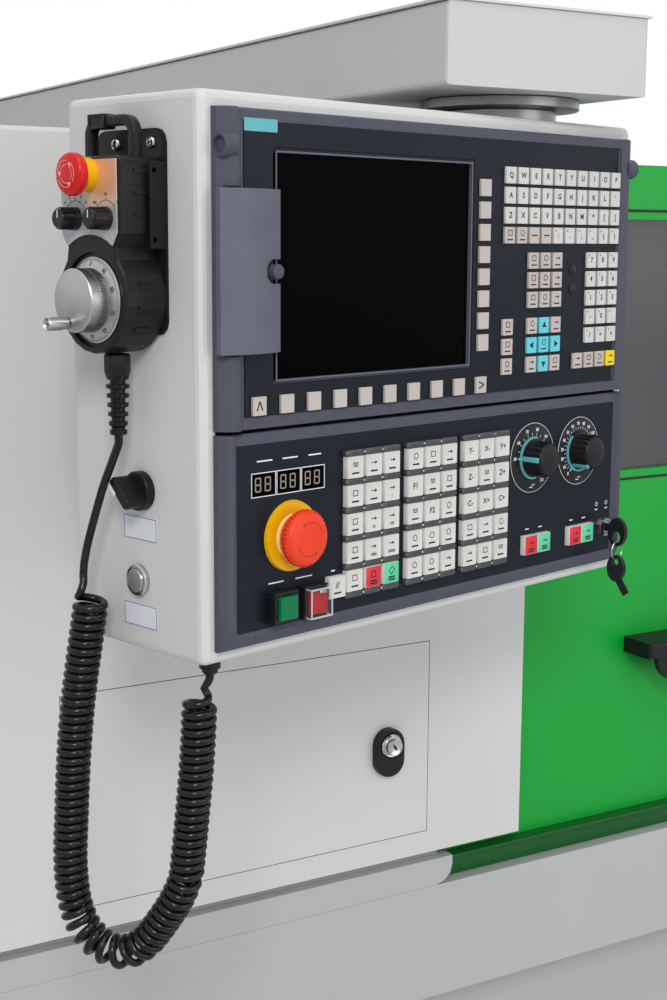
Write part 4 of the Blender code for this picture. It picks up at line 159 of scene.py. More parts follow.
def curly(route):
    """Wind the cord round a route. The pitch is the least that keeps neighbouring turns apart."""
    frames = carried_frames(route)
    least = CORD_DIAMETER + TURN_GAP
    run = [0.0]
    for before, after in zip(route, route[1:]):
        run.append(run[-1] + (after - before).length)
    turn, turns = 0.0, [0.0]
    for index in range(1, len(route)):
        length = run[index] - run[index - 1]
        bend = frames[index][0].angle(frames[index - 1][0]) / length
        middle = (run[index] + run[index - 1]) / 2
        from_end = min(1.0, middle / OPENING, (run[-1] - middle) / OPENING)
        wind = 1 - TURN_RADIUS * min(bend * BEND_SPARE, SHARPEST_BEND)
        turn += length * wind * (SLOW_WIND + (1 - SLOW_WIND) * from_end ** 3) / least
        turns.append(turn)
    wound, place = [], 0
    count = int(turns[-1] * POINTS_PER_TURN)
    for step in range(count + 1):
        at = step * turns[-1] / count
        while place < len(route) - 2 and turns[place + 1] < at:
            place += 1
        share = (at - turns[place]) / max(turns[place + 1] - turns[place], NO_LENGTH)
        middle = route[place].lerp(route[place + 1], min(share, 1))
        direction, across = frames[place]
        along = run[place] + min(share, 1) * (run[place + 1] - run[place])
        open_share = min(1, along / OPENING, (run[-1] - along) / OPENING)
        radius = TURN_RADIUS * (3 - 2 * open_share) * open_share ** 2
        angle = math.tau * at
        side = direction.cross(across)
        wound.append(middle + radius * (across * math.cos(angle) + side * math.sin(angle)))
    return wound, turns[-1]


coil_points, coil_turns = curly(smooth_route(COIL_ROUTE, ROUTE_STEP))
lead_points = smooth_route(UPPER_ROUTE, CORD_DIAMETER)[:-1]
end_points = smooth_route(LOWER_ROUTE, CORD_DIAMETER / 2)[1:]
cord_points = [pendant_board @ point for point in lead_points + coil_points + end_points]
cord_length = sum((b - a).length for a, b in zip(cord_points, cord_points[1:]))

cord_curve = bpy.data.curves.new("curly_cord", "CURVE")
cord_curve.dimensions = "3D"
cord_curve.bevel_depth = 1.0
cord_curve.bevel_resolution = 3
cord_curve.use_fill_caps = True
spline = cord_curve.splines.new("POLY")
spline.points.add(len(cord_points) - 1)
for point, spot in zip(spline.points, cord_points):
    point.co, point.radius = (*spot, 1), CORD_DIAMETER / 2
cord = bpy.data.objects.new("curly_cord", cord_curve)
bpy.context.scene.collection.objects.link(cord)
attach(cord, "pendant")
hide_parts("cord_lead_upper", "cord_coil", "cord_lead_lower")
print("cord:", round(coil_turns, 1), "turns,", round(cord_length, 3), "m,", len(cord_points), "points")

# %% [markdown]
# The room is a plain pale floor and soft lamps. The background has to be white to the camera and to
# anything that reflects it, but it mustn't flood the machine with light. Light Path tells the rays
# apart: camera, mirror and glass rays see white, and all other rays see a dim world.

# %% Floor, world and lamps
FLOOR_SIZE = 40
AMBIENT = 0.45


def white_behind(tree, dim_socket, white_socket, output):
    """Show one shader to camera, mirror and glass rays, and the other to the rest."""
    path = tree.nodes.new("ShaderNodeLightPath")
    seen = tree.nodes.new("ShaderNodeMath")
    seen.operation = "MAXIMUM"
    tree.links.new(path.outputs["Is Camera Ray"], seen.inputs[0])
    tree.links.new(path.outputs["Is Glossy Ray"], seen.inputs[1])
    through = tree.nodes.new("ShaderNodeMath")
    through.operation = "MAXIMUM"
    tree.links.new(seen.outputs[0], through.inputs[0])
    tree.links.new(path.outputs["Is Transmission Ray"], through.inputs[1])
    chooser = tree.nodes.new("ShaderNodeMixShader")
    tree.links.new(through.outputs[0], chooser.inputs[0])
    tree.links.new(dim_socket, chooser.inputs[1])
    tree.links.new(white_socket, chooser.inputs[2])
    tree.links.new(chooser.outputs[0], output)


world = bpy.data.worlds.new("studio")
world.use_nodes = True
bpy.context.scene.world = world
room = world.node_tree
dim = room.nodes["Background"]
dim.inputs["Color"].default_value = (0.93, 0.96, 1.0, 1.0)
dim.inputs["Strength"].default_value = AMBIENT
white = room.nodes.new("ShaderNodeBackground")
white.inputs["Color"].default_value = (1.0, 1.0, 1.0, 1.0)
white.inputs["Strength"].default_value = 1.0
white_behind(room, dim.outputs[0], white.outputs[0], room.nodes["World Output"].inputs["Surface"])

bpy.ops.object.select_all(action="DESELECT")
bpy.ops.mesh.primitive_plane_add(size=FLOOR_SIZE, location=(0, 0, 0))
floor = bpy.context.object
floor.name = "studio_floor"
pale = bpy.data.materials.new("studio_floor")
pale.use_nodes = True
pale.node_tree.nodes["Principled BSDF"].inputs["Base Color"].default_value = (0.82, 0.82, 0.82, 1)
pale.node_tree.nodes["Principled BSDF"].inputs["Roughness"].default_value = 0.8
floor.data.materials.append(pale)

LAMPS = {
    "key": ((-2.7, -4.2, 3.5), 1.2, 96, (1.0, 0.985, 0.96)),
    "fill": ((1.6, -4.4, 1.6), 3.0, 40, (0.96, 0.98, 1.0)),
    "top": ((-0.8, -1.9, 4.3), 1.8, 30, (1.0, 1.0, 1.0)),
    "back": ((1.5, 4.0, 2.8), 3.0, 40, (1.0, 1.0, 1.0)),
}
MACHINE_MIDDLE = Vector((-0.4, -0.4, 1.0))
for name, (place, size, watts, tint) in LAMPS.items():
    lamp = bpy.data.lights.new(name, "AREA")
    lamp.size, lamp.energy, lamp.color = size, watts, tint
    stand = bpy.data.objects.new(name, lamp)
    bpy.context.scene.collection.objects.link(stand)
    stand.location = place
    stand.rotation_euler = (MACHINE_MIDDLE - Vector(place)).to_track_quat("-Z", "Y").to_euler()
bpy.context.scene.view_settings.view_transform = "Standard"
print(len(LAMPS), "lamps")

# %% [markdown]
# Every surface gets a node material. Building one by clicking is fine for one, but this machine has
# more than forty, so shader maths is written as plain expressions. Value wraps a socket, and its operators
# add Math nodes. Finish makes one material and adds any other node from its type, settings and inputs.

# %% Shader maths


class Value:
    """A socket that can be added, multiplied or compared like a number."""

    def __init__(self, finish, socket):
        self.finish, self.socket = finish, socket

    def __add__(self, other):
        return self.finish.maths("ADD", self, other)

    def __sub__(self, other):
        return self.finish.maths("SUBTRACT", self, other)

    def __rsub__(self, other):
        return self.finish.maths("SUBTRACT", other, self)

    def __mul__(self, other):
        return self.finish.maths("MULTIPLY", self, other)

    def __gt__(self, other):
        return self.finish.maths("GREATER_THAN", self, other)

    def __lt__(self, other):
        return self.finish.maths("LESS_THAN", self, other)

    __radd__ = __add__
    __rmul__ = __mul__


class Finish:
    """One material with a Principled shader, built from short expressions."""

    def __init__(self, name, **constants):
        self.made = bpy.data.materials.new(name)
        self.made.use_nodes = True
        self.tree = self.made.node_tree
        self.shader = self.tree.nodes["Principled BSDF"]
        for socket, value in constants.items():
            self.feed(self.shader.inputs[socket.replace("_", " ")], value)

    def feed(self, socket, value):
        if isinstance(value, Value):
            self.tree.links.new(value.socket, socket)
        elif isinstance(value, tuple) and len(value) == 3 and socket.type == "RGBA":
            socket.default_value = (*value, 1)
        else:
            socket.default_value = value

    def node(self, kind, settings=(), inputs=(), output=0):
        made = self.tree.nodes.new("ShaderNode" + kind)
        for setting, value in dict(settings).items():
            setattr(made, setting, value)
        for socket, value in dict(inputs).items():
            self.feed(made.inputs[socket], value)
        return Value(self, made.outputs[output])

    def maths(self, operation, first, second):
        return self.node("Math", {"operation": operation}, {0: first, 1: second})

    def place(self, board=None):
        """Object coordinates, or coordinates on a drawing board."""
        spot = self.node("TexCoord", output="Object")
        if board is None:
            return spot
        away = board.inverted()
        return self.node("Mapping", {"vector_type": "POINT"},
                         {"Vector": spot, "Location": away.translation, "Rotation": away.to_euler()})

    def axes(self, spot):
        split = self.node("SeparateXYZ", (), {0: spot})
        outputs = split.socket.node.outputs
        return [Value(self, outputs[axis]) for axis in "XYZ"]

    def noise(self, spot, scale, detail=2.0, stretch=None):
        if stretch:
            spot = self.node("Mapping", {"vector_type": "POINT"}, {"Vector": spot, "Scale": stretch})
        return self.node("TexNoise", (), {"Vector": spot, "Scale": scale, "Detail": detail})

    def blend(self, share, first, second):
        """Mix two colours by a share."""
        return self.node("Mix", {"data_type": "RGBA"}, {0: share, 6: first, 7: second}, output=2)

    def bump(self, height, depth, strength=1.0):
        normal = self.node("Bump", (), {"Height": height, "Distance": depth, "Strength": strength})
        self.feed(self.shader.inputs["Normal"], normal)

    def colour(self, value):
        self.feed(self.shader.inputs["Base Color"], value)

    def roughness(self, value):
        self.feed(self.shader.inputs["Roughness"], value)


FINISHES = {}
print("shader helpers are ready")

# %% [markdown]
# The covers are powder coated. The powder melts into a skin that is never quite flat, which painters
# call orange peel, and the tone wanders a little from sheet to sheet. A fine noise drives the bump, a
# coarse one drives the tone, and both are kept faint, because the sheets look plain from a step away.

# %% Powder coated sheets


def powder_coat(name, colour, shade, roughness, peel=0.00012):
    coat = Finish(name, Specular_IOR_Level=0.3)
    spot = coat.place()
    drift = coat.noise(spot, 2.2, 3.0)
    speck = coat.noise(spot, 900, 2.0)
    coat.colour(coat.blend(drift * 0.8 + speck * 0.2, shade, colour))
    coat.roughness(roughness + (coat.noise(spot, 35, 3.0) - 0.5) * 0.12)
    coat.bump(coat.noise(spot, 420, 2.0) * 0.7 + coat.noise(spot, 1300, 1.0) * 0.3, peel)
    FINISHES[name] = coat.made


powder_coat("light_paint", (0.64, 0.64, 0.63), (0.57, 0.57, 0.56), 0.46)
# The support arm gets the covers' paint made darker. The arm is coated with the same powder, so the darker
# tone is painted shade.
powder_coat("arm_paint_painted_shade", (0.56, 0.56, 0.55), (0.50, 0.50, 0.49), 0.46)
powder_coat("grey_paint", (0.47, 0.475, 0.48), (0.41, 0.415, 0.42), 0.46)
powder_coat("green_paint", (0.001, 0.35, 0.034), (0.001, 0.29, 0.026), 0.34)
# The door sill gets the door's green made much darker. The sill is the same green, and the darker tone is
# painted shade in the channel under the door.
powder_coat("green_painted_shade", (0.004, 0.11, 0.014), (0.003, 0.085, 0.010), 0.34)
print("powder coats:", ", ".join(FINISHES))

# %% [markdown]
# The castings are painted over rough iron, and the turned parts are bare metal. Cast iron gets a coarse
# grain. A turned face shows fine rings, and brushed metal shows fine lines, so the noise is stretched
# along one axis until its spots become lines.

# %% Castings and bare metal


def casting(name, colour, shade):
    iron = Finish(name, Metallic=0.35)
    spot = iron.place()
    grain = iron.noise(spot, 160, 4.0)
    iron.colour(iron.blend(iron.noise(spot, 7, 4.0), shade, colour))
    iron.roughness(0.42 + grain * 0.3)
    iron.bump(grain, 0.0006, 0.6)
    FINISHES[name] = iron.made


def bare_metal(name, colour, roughness, stretch, lines=260, depth=0.00002):
    metal = Finish(name, Metallic=1.0)
    spot = metal.place()
    brushed = metal.noise(spot, lines, 3.0, stretch)
    cloud = metal.noise(spot, 40, 3.0)
    darker = tuple(c * 0.82 for c in colour)
    metal.colour(metal.blend(brushed * 0.6 + cloud * 0.4, darker, colour))
    metal.roughness(roughness + (brushed - 0.5) * 0.22)
    metal.bump(brushed, depth, 0.7)
    FINISHES[name] = metal.made


casting("cast_iron", (0.27, 0.285, 0.29), (0.19, 0.2, 0.21))
bare_metal("steel", (0.46, 0.46, 0.455), 0.3, (1, 1, 14))
bare_metal("chrome", (0.55, 0.55, 0.55), 0.16, (3, 3, 3))
bare_metal("aluminium", (0.62, 0.62, 0.63), 0.3, (14, 1, 1))
bare_metal("spun_aluminium", (0.46, 0.46, 0.47), 0.34, (2, 2, 2), 60, 0.000004)
bare_metal("collar_steel", (0.26, 0.26, 0.26), 0.3, (1, 1, 0.1), 60, 0.000004)
print("metals are ready")

# %% [markdown]
# The plastics are moulded in spark-eroded tools, which leaves a fine pebble on them. The black ones
# take a little dust and wear in their tone. Buttons are smoother and slightly glossy. A dark plastic
# mirrors the white room more than it shows its own tone, so it gets less shine.

# %% Moulded plastics
PEBBLE_SCALE = 1500
DARK, DARK_SHINE, PALE_SHINE = 0.2, 0.2, 0.4


def moulded(name, colour, shade, roughness, pebble=0.00006, shine=None):
    if shine is None:
        shine = DARK_SHINE if max(colour) < DARK else PALE_SHINE
    plastic = Finish(name, Specular_IOR_Level=shine)
    spot = plastic.place()
    cloud = plastic.noise(spot, 28, 3.0)
    plastic.colour(plastic.blend(cloud, shade, colour))
    plastic.roughness(roughness + (plastic.noise(spot, 90, 2.0) - 0.5) * 0.14)
    plastic.bump(plastic.noise(spot, PEBBLE_SCALE, 2.0), pebble, 0.8)
    FINISHES[name] = plastic.made


moulded("black_plastic", (0.0115, 0.011, 0.013), (0.0075, 0.0075, 0.0085), 0.36)
moulded("flap_grey", (0.125, 0.125, 0.165), (0.10, 0.10, 0.135), 0.4, 0.0001)
moulded("hand_red", (0.62, 0.010, 0.012), (0.52, 0.007, 0.009), 0.24, 0.00002, shine=0.26)
moulded("deep_red", (0.42, 0.008, 0.007), (0.36, 0.006, 0.005), 0.3, 0.00002, shine=0.2)
moulded("stop_pale", (0.95, 0.36, 0.34), (0.9, 0.3, 0.28), 0.4, 0.00001)
moulded("knob_black", (0.014, 0.014, 0.015), (0.009, 0.009, 0.01), 0.2, 0.00002)
moulded("dial_black", (0.012, 0.012, 0.014), (0.008, 0.008, 0.01), 0.3, 0.00001)
moulded("stop_arrows", (0.42, 0.02, 0.008), (0.36, 0.015, 0.006), 0.4, 0.00001)
moulded("cord_rubber", (0.008, 0.008, 0.009), (0.005, 0.005, 0.006), 0.2, 0.00001, shine=0.28)
moulded("red_plastic", (0.84, 0.056, 0.016), (0.74, 0.042, 0.012), 0.36, 0.00003, shine=0.25)
moulded("yellow_plastic", (0.84, 0.46, 0.002), (0.76, 0.39, 0.001), 0.38, 0.00003, shine=0.28)
moulded("green_plastic", (0.0, 0.18, 0.060), (0.0, 0.15, 0.048), 0.34, 0.00003, shine=0.2)
moulded("key_beige", (0.52, 0.465, 0.435), (0.46, 0.41, 0.38), 0.46)
moulded("key_white", (0.66, 0.645, 0.615), (0.6, 0.585, 0.555), 0.42)
moulded("key_pale", (0.62, 0.61, 0.59), (0.56, 0.55, 0.53), 0.44)
moulded("key_cyan", (0.13, 0.6, 0.68), (0.1, 0.52, 0.6), 0.42)
moulded("key_yellow", (0.85, 0.66, 0.01), (0.78, 0.58, 0.005), 0.42)
moulded("key_red", (0.7, 0.02, 0.035), (0.6, 0.015, 0.028), 0.4)
moulded("key_green", (0.11, 0.62, 0.34), (0.09, 0.54, 0.29), 0.4)
moulded("ridge_grey", (0.055, 0.056, 0.063), (0.042, 0.043, 0.049), 0.22, 0.00003, shine=0.55)
moulded("pointer_teal", (0.12, 0.44, 0.48), (0.09, 0.37, 0.41), 0.4)
moulded("mark_dark", (0.025, 0.025, 0.03), (0.015, 0.015, 0.018), 0.5, 0.00001)
moulded("mark_white", (0.8, 0.82, 0.84), (0.7, 0.72, 0.75), 0.5, 0.00001)
moulded("mark_dull", (0.34, 0.28, 0.23), (0.26, 0.21, 0.17), 0.4, 0.00001)
moulded("label_white", (0.72, 0.73, 0.77), (0.66, 0.67, 0.71), 0.35, 0.00002)
moulded("label_blue", (0.07, 0.14, 0.42), (0.05, 0.1, 0.34), 0.35, 0.00002)
# A pale yellow with no light of its own: a painted glow for the lit collar of the emergency stop.
moulded("painted_glow_pale", (0.95, 0.78, 0.42), (0.9, 0.7, 0.34), 0.35, 0.00002)
print("plastics are ready")

# %% [markdown]
# Both panels of the pendant are one moulding with two looks: a smooth dark foil in the middle, and a
# lighter pebbled plastic on the columns and rims. The CAD gives one node, so the finish tells the two
# apart by place. It reads coordinates on the front's drawing board and compares them with the foil's
# edges, and the product of the comparisons is a mask.

# %% Two looks on one panel
FOIL_TONE, FOIL_SHADE = (0.0095, 0.0135, 0.020), (0.0065, 0.010, 0.0155)
RIM_TONE, RIM_SHADE = (0.088, 0.090, 0.120), (0.062, 0.064, 0.088)
SCREEN_FOIL = ((0.0215, 0.4645), (-0.2115, -0.0085))
KEY_FOIL = ((0.0135, 0.468), (-0.3665, -0.231))


def panel_finish(name, board, foils):
    panel = Finish(name, Specular_IOR_Level=0.14)
    spot = panel.place(board)
    right, up, out = panel.axes(spot)
    mask = 0
    for (low_x, high_x), (low_y, high_y) in foils:
        mask = mask + (right > low_x) * (right < high_x) * (up > low_y) * (up < high_y)
    mask = mask * (out > PANEL_FACE - MM) * (out < PANEL_FACE + 0.1 * MM)
    cloud = panel.noise(spot, 30, 3.0)
    foil = panel.blend(cloud, FOIL_SHADE, FOIL_TONE)
    grain = panel.noise(spot, 60, 3.0) * 0.5 + panel.noise(spot, 1400, 1.0) * 0.5
    rim = panel.blend(grain, RIM_SHADE, RIM_TONE)
    panel.colour(panel.blend(mask, rim, foil))
    panel.roughness(0.46 - mask * 0.14 + (panel.noise(spot, 80, 2.0) - 0.5) * 0.1)
    panel.bump(panel.noise(spot, 1500, 2.0) * (1 - mask * 0.85), 0.0001, 0.8)
    FINISHES[name] = panel.made


panel_finish("charcoal", front_board, (SCREEN_FOIL, KEY_FOIL))
print("the panels have two looks")

# %% [markdown]
# The screen is a dark pane. It isn't quite black, because the layer under the glass scatters a little,
# so a faint cloud in its tone and in its gloss keeps it from looking like a hole. The window and the
# guard are clear plastic with fine scratches in their gloss.

# %% Panes


def pane(name, colour, roughness, scratch, **constants):
    glass = Finish(name, **constants)
    spot = glass.place()
    cloud = glass.noise(spot, 6, 3.0)
    glass.colour(glass.blend(cloud, tuple(c * 0.8 for c in colour), colour))
    glass.roughness(roughness + glass.noise(spot, 50, 4.0, (1, 1, 9)) * scratch)
    glass.bump(glass.noise(spot, 30, 2.0), 0.00002, 0.3)
    FINISHES[name] = glass.made


pane("black_glass", (0.001, 0.001, 0.0012), 0.16, 0.08, IOR=1.45, Specular_IOR_Level=0.02)
pane("clear_glass", (0.075, 0.077, 0.083), 0.07, 0.06, IOR=1.49, Transmission_Weight=0.35,
     Specular_IOR_Level=0.3)
pane("guard_glass", (0.9, 0.92, 0.94), 0.02, 0.04, Alpha=0.015)
# Pale, half clear plastic for the guard's edges: a painted highlight where its clear edges catch the light.
pane("guard_painted_highlight", (0.80, 0.82, 0.85), 0.06, 0.08, Alpha=0.55)
print("panes are ready")

# %% [markdown]
# The face plate of the handheld unit is brushed and silver, and the stop button above it is lit from
# inside, so an orange glow spreads over the plate. The glow is painted light: a mask that falls off with
# the distance from the button, read on the side's drawing board, blends orange into the plate's colour.
# The mask doesn't depend on where the camera stands.

# %% A plate with a glow on it
GLOW_MIDDLE, GLOW_REACH = (-0.0452, 0.058), 0.03
lit = Finish("lit_plate", Metallic=0.25)
spot = lit.place(side_board)
up, back, out = lit.axes(spot)
far = (up - GLOW_MIDDLE[0]) * (up - GLOW_MIDDLE[0]) + (back - GLOW_MIDDLE[1]) * (back - GLOW_MIDDLE[1])
glow = lit.maths("MAXIMUM", 1 - far * (1 / GLOW_REACH ** 2), 0.0)
brushed = lit.noise(spot, 260, 3.0, (14, 1, 1))
silver = lit.blend(brushed, (0.36, 0.36, 0.38), (0.47, 0.47, 0.49))
# The orange blended in here is painted light from the stop button.
lit.colour(lit.blend(glow * 0.7, silver, (0.95, 0.42, 0.12)))
lit.roughness(0.34 + (brushed - 0.5) * 0.2)
lit.bump(brushed, 0.00001, 0.5)
FINISHES["lit_plate"] = lit.made
print("the plate glows near the button")

# %% [markdown]
# Every node that comes from the CAD takes the finish of its slot. A few take one of their own, such as
# the guard, whose plastic is clearer than the window's.

# %% Finishes on the CAD nodes
# The support arm's darker paint and the door sill's darker green are painted shade.
OWN_FINISH = {
    "button_guard": "guard_glass", "plinth_strip": "grey_paint", "support_arm": "arm_paint_painted_shade",
    "red_button": "deep_red", "door_sill": "green_painted_shade", "handheld_plate": "lit_plate",
    "flap": "flap_grey",
}
for name, node in nodes.items():
    for slot in node.material_slots:
        slot.material = FINISHES[OWN_FINISH.get(name, slot.material.name)]
cord_curve.materials.append(FINISHES["cord_rubber"])
print(len(nodes), "nodes have a finish")

# %% [markdown]
# The small pieces are all modelled the same way, so the steps get a name each. A lump of stock is a
# primitive of the right size. pick selects faces by where they are and which way they look, as a
# person clicks on them. turned pushes a disc up a profile like a lathe, and finish puts a piece on its
# board, gives it a finish and says what it moves with. CRISP is the angle in degrees past which an
# edge of print stays sharp.

# %% Modelling helpers
CRISP = 20
FACING = 0.9


def alone(piece=None):
    """Deselect everything, then make one piece the active one."""
    bpy.ops.object.select_all(action="DESELECT")
    if piece:
        piece.select_set(True)
        bpy.context.view_layer.objects.active = piece


def block(width, height, depth, place=(0, 0, 0)):
    """A box that stands on its place and grows outwards."""
    alone()
    x, y, z = place
    bpy.ops.mesh.primitive_cube_add(size=1, location=(x, y, z + depth / 2), scale=(width, height, depth))
    bpy.ops.object.transform_apply()
    return bpy.context.object


def pick(piece, test):
    """Enter edit mode with those faces selected whose middle and normal pass the test."""
    alone(piece)
    bpy.ops.object.mode_set(mode="EDIT")
    bpy.ops.mesh.select_mode(type="FACE")
    bpy.ops.mesh.select_all(action="DESELECT")
    bpy.ops.object.mode_set(mode="OBJECT")
    for face in piece.data.polygons:
        face.select = bool(test(face.center, face.normal))
    bpy.ops.object.mode_set(mode="EDIT")


def facing_out(middle, normal):
    return normal.z > FACING


def facing_in(middle, normal):
    return normal.z < -FACING


def everything(middle, normal):
    return True


def closed(piece):
    """Leave edit mode with the normals facing outwards."""
    bpy.ops.mesh.select_all(action="SELECT")
    bpy.ops.mesh.normals_make_consistent(inside=False)
    bpy.ops.object.mode_set(mode="OBJECT")
    return piece


def mm(*pairs):
    """A profile written in millimetres."""
    return [(radius * MM, height * MM) for radius, height in pairs]


def editing():
    """Take the new primitive into edit mode with all of it selected."""
    piece = bpy.context.object
    bpy.ops.object.transform_apply()
    bpy.ops.object.mode_set(mode="EDIT")
    bpy.ops.mesh.select_all(action="SELECT")
    return piece


def push_out(depth):
    bpy.ops.mesh.extrude_region_move(TRANSFORM_OT_translate={"value": (0, 0, depth)})


def turned(profile, steps=32):
    """Push a disc through a profile of (radius, height)."""
    alone()
    (radius, height), rest = profile[0], profile[1:]
    bpy.ops.mesh.primitive_circle_add(vertices=steps, radius=radius, fill_type="NGON",
                                      location=(0, 0, height))
    piece = editing()
    for next_radius, next_height in rest:
        push_out(next_height - height)
        share = next_radius / radius
        bpy.ops.transform.resize(value=(share, share, 1), center_override=(0, 0, next_height))
        radius, height = next_radius, next_height
    return closed(piece)


def rounded_plane(width, height, corner, place, segments):
    """A flat plate with round corners, left in edit mode."""
    alone()
    bpy.ops.mesh.primitive_plane_add(size=1, location=place)
    bpy.context.object.scale = (width, height, 1)
    piece = editing()
    bpy.ops.mesh.bevel(offset=corner, segments=segments, affect="VERTICES")
    return piece


def slab(width, height, depth, corner, place=(0, 0, 0), segments=4):
    """A plate with round corners, pushed out to its thickness."""
    piece = rounded_plane(width, height, corner, place, segments)
    push_out(depth)
    return closed(piece)


def opened(piece, wall, depth):
    """Cut the middle out of the selected flat face and push the rest out."""
    bpy.ops.mesh.inset(thickness=wall)
    bpy.ops.mesh.delete(type="FACE")
    bpy.ops.mesh.select_all(action="SELECT")
    push_out(depth)
    return closed(piece)


def softened(piece, width, segments=2, angle=35):
    """Round the sharp edges with a bevel modifier and apply it."""
    alone(piece)
    bevel = piece.modifiers.new("round", "BEVEL")
    bevel.width, bevel.segments = width, segments
    bevel.limit_method, bevel.angle_limit = "ANGLE", math.radians(angle)
    bpy.ops.object.modifier_apply(modifier=bevel.name)
    return piece


def hollowed(piece, wall, depth, test=facing_out):
    """Inset the picked faces and push the inner ones down."""
    pick(piece, test)
    bpy.ops.mesh.inset(thickness=wall)
    bpy.ops.transform.translate(value=(0, 0, -depth))
    bpy.ops.object.mode_set(mode="OBJECT")
    return piece


def flat_ring(radius, width, depth, place=(0, 0, 0), steps=40):
    """A ring: a disc whose middle is cut away, then pushed out."""
    alone()
    bpy.ops.mesh.primitive_circle_add(vertices=steps, radius=radius, fill_type="NGON", location=place)
    return opened(editing(), width, depth)


def frame_line(width, height, line, depth, place=(0, 0, 0)):
    """Four bars round a rectangle."""
    x, y, z = place
    bars = [block(width, line, depth, (x, y + side * (height - line) / 2, z)) for side in (-1, 1)]
    bars += [block(line, height - 2 * line, depth, (x + side * (width - line) / 2, y, z))
             for side in (-1, 1)]
    return joined(bars)


def joined(parts):
    alone(parts[0])
    for part in parts:
        part.select_set(True)
    if len(parts) > 1:
        bpy.ops.object.join()
    return parts[0]


def placed(piece, place=(0, 0, 0), turn=0.0, tip=None):
    """Turn a piece about its own outward axis, tip it if asked, and carry it to its place."""
    tilt = Matrix.Rotation(tip[0], 4, tip[1]) if tip else Matrix.Identity(4)
    piece.data.transform(Matrix.Translation(place) @ tilt @ Matrix.Rotation(turn, 4, "Z"))
    return piece


def copied(stamp, spots):
    """Copies of one modelled thing at (x, y, z) or (x, y, z, turn), each with its own mesh."""
    copies = []
    for spot in spots:
        twin = stamp.copy()
        twin.data = stamp.data.copy()
        bpy.context.scene.collection.objects.link(twin)
        copies.append(placed(twin, spot[:3], *spot[3:]))
    bpy.data.objects.remove(stamp)
    return copies


def figures(text, size, place=(0, 0, 0), turn=0.0, depth=0.06 * MM):
    """One printed figure as a thin solid: a text curve, made a mesh before its place is applied."""
    alone()
    bpy.ops.object.text_add()
    piece = bpy.context.object
    piece.data.body, piece.data.size, piece.data.extrude = text, size, depth
    piece.data.align_x, piece.data.align_y = "CENTER", "CENTER"
    piece.data.resolution_u = 3
    piece.data.offset = size * 0.022
    bpy.ops.object.convert(target="MESH")
    x, y, z = place
    return placed(bpy.context.object, (x, y, z + depth * 0.5), turn)


def finish(piece, name, look, body, slot, board=None, smooth=35, stands_for=()):
    """Put a piece on its board, give it a finish, and say what it moves with."""
    if isinstance(piece, list):
        piece = joined(piece)
    if board is not None:
        piece.data.transform(board)
    piece.data.materials.clear()
    piece.data.materials.append(FINISHES[look])
    piece.data.update()
    alone(piece)
    bpy.ops.object.shade_smooth_by_angle(angle=math.radians(smooth))
    piece.name = piece.data.name = name
    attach(piece, body)
    if stands_for:
        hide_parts(*stands_for)
    return piece


def around(count, radius, start=0.0, sweep=math.tau):
    """Angles and places round a circle."""
    step = sweep / count if sweep == math.tau else sweep / (count - 1)
    angles = [start + step * index for index in range(count)]
    return [(angle, radius * math.cos(angle), radius * math.sin(angle)) for angle in angles]


print("modelling helpers are ready")

# %% [markdown]
# The keys of the screen unit are domed rubber caps under one foil, in four colours: beige for the soft
# and menu keys, pale for letters and numbers, cyan for the arrows and one yellow. Each cap is a block
# with its top inset and its edges rounded. It is modelled once per colour and copied, and all caps of
# one colour become one piece, which stands a hair proud of the caps that the CAD has fused in. A thin
# light trim line runs round the screen.

# %% Small key caps
SMALL_KEY = (12.8 * MM, 13.3 * MM, 2.6 * MM)
GRID_LEFT, GRID_PITCH, GRID_ROW = 0.3105, 0.0163, 0.0162
LETTERS_TOP, LETTER_ROW, MENU_TOP, ARROWS_TOP = 0.0358, 0.016, 0.1045, 0.1585
TRIM_SIZE, TRIM_MIDDLE = (213.4 * MM, 160.4 * MM), (0.158, -0.1075, 0)


def small_cap():
    cap = block(*SMALL_KEY)
    hollowed(cap, 1.1 * MM, 0.12 * MM)
    return softened(cap, 0.35 * MM, 2, 60)


def grid(column, row, top, pitch=GRID_ROW):
    return (GRID_LEFT + GRID_PITCH * column, -top - pitch * row, 0)


soft_column = [(0.279, -0.0466 - 0.0176 * row, 0) for row in range(8)]
soft_row = [(0.034 + 0.02707 * column, -0.204, 0) for column in range(10)]
letter_keys = [grid(column, row, LETTERS_TOP, LETTER_ROW) for row in range(4) for column in range(10)]
menu_keys = [grid(column, row, MENU_TOP) for row in range(3) for column in (2, 3, 4)]
arrow_keys = {(column, row): grid(column, row, ARROWS_TOP) for row in range(3) for column in (0, 2, 3, 4)}
pad_keys = [grid(column, row, MENU_TOP) for row in range(5) for column in (7, 8, 9)]
last_keys = [grid(column, 2, ARROWS_TOP) for column in (6, 7, 8, 9)]
CYAN_KEYS = ((3, 0), (2, 1), (3, 1), (4, 1), (3, 2))
side_menu = [spot for key, spot in arrow_keys.items() if key not in CYAN_KEYS]

SMALL_KEYS = {
    "key_beige": soft_column + soft_row + letter_keys[30:34] + menu_keys + side_menu + last_keys[:3],
    "key_pale": letter_keys[:30] + letter_keys[34:] + pad_keys,
    "key_cyan": [arrow_keys[key] for key in CYAN_KEYS],
    "key_yellow": last_keys[3:],
}
for look, spots in SMALL_KEYS.items():
    finish(copied(small_cap(), spots), "screen_" + look, look, "pendant", "charcoal", face_board)
trim = frame_line(*TRIM_SIZE, 1.3 * MM, 0.35 * MM, TRIM_MIDDLE)
finish(softened(trim, 0.1 * MM, 1, 60), "screen_trim", "flap_grey", "pendant", "charcoal", face_board)
print({look: len(spots) for look, spots in SMALL_KEYS.items()})

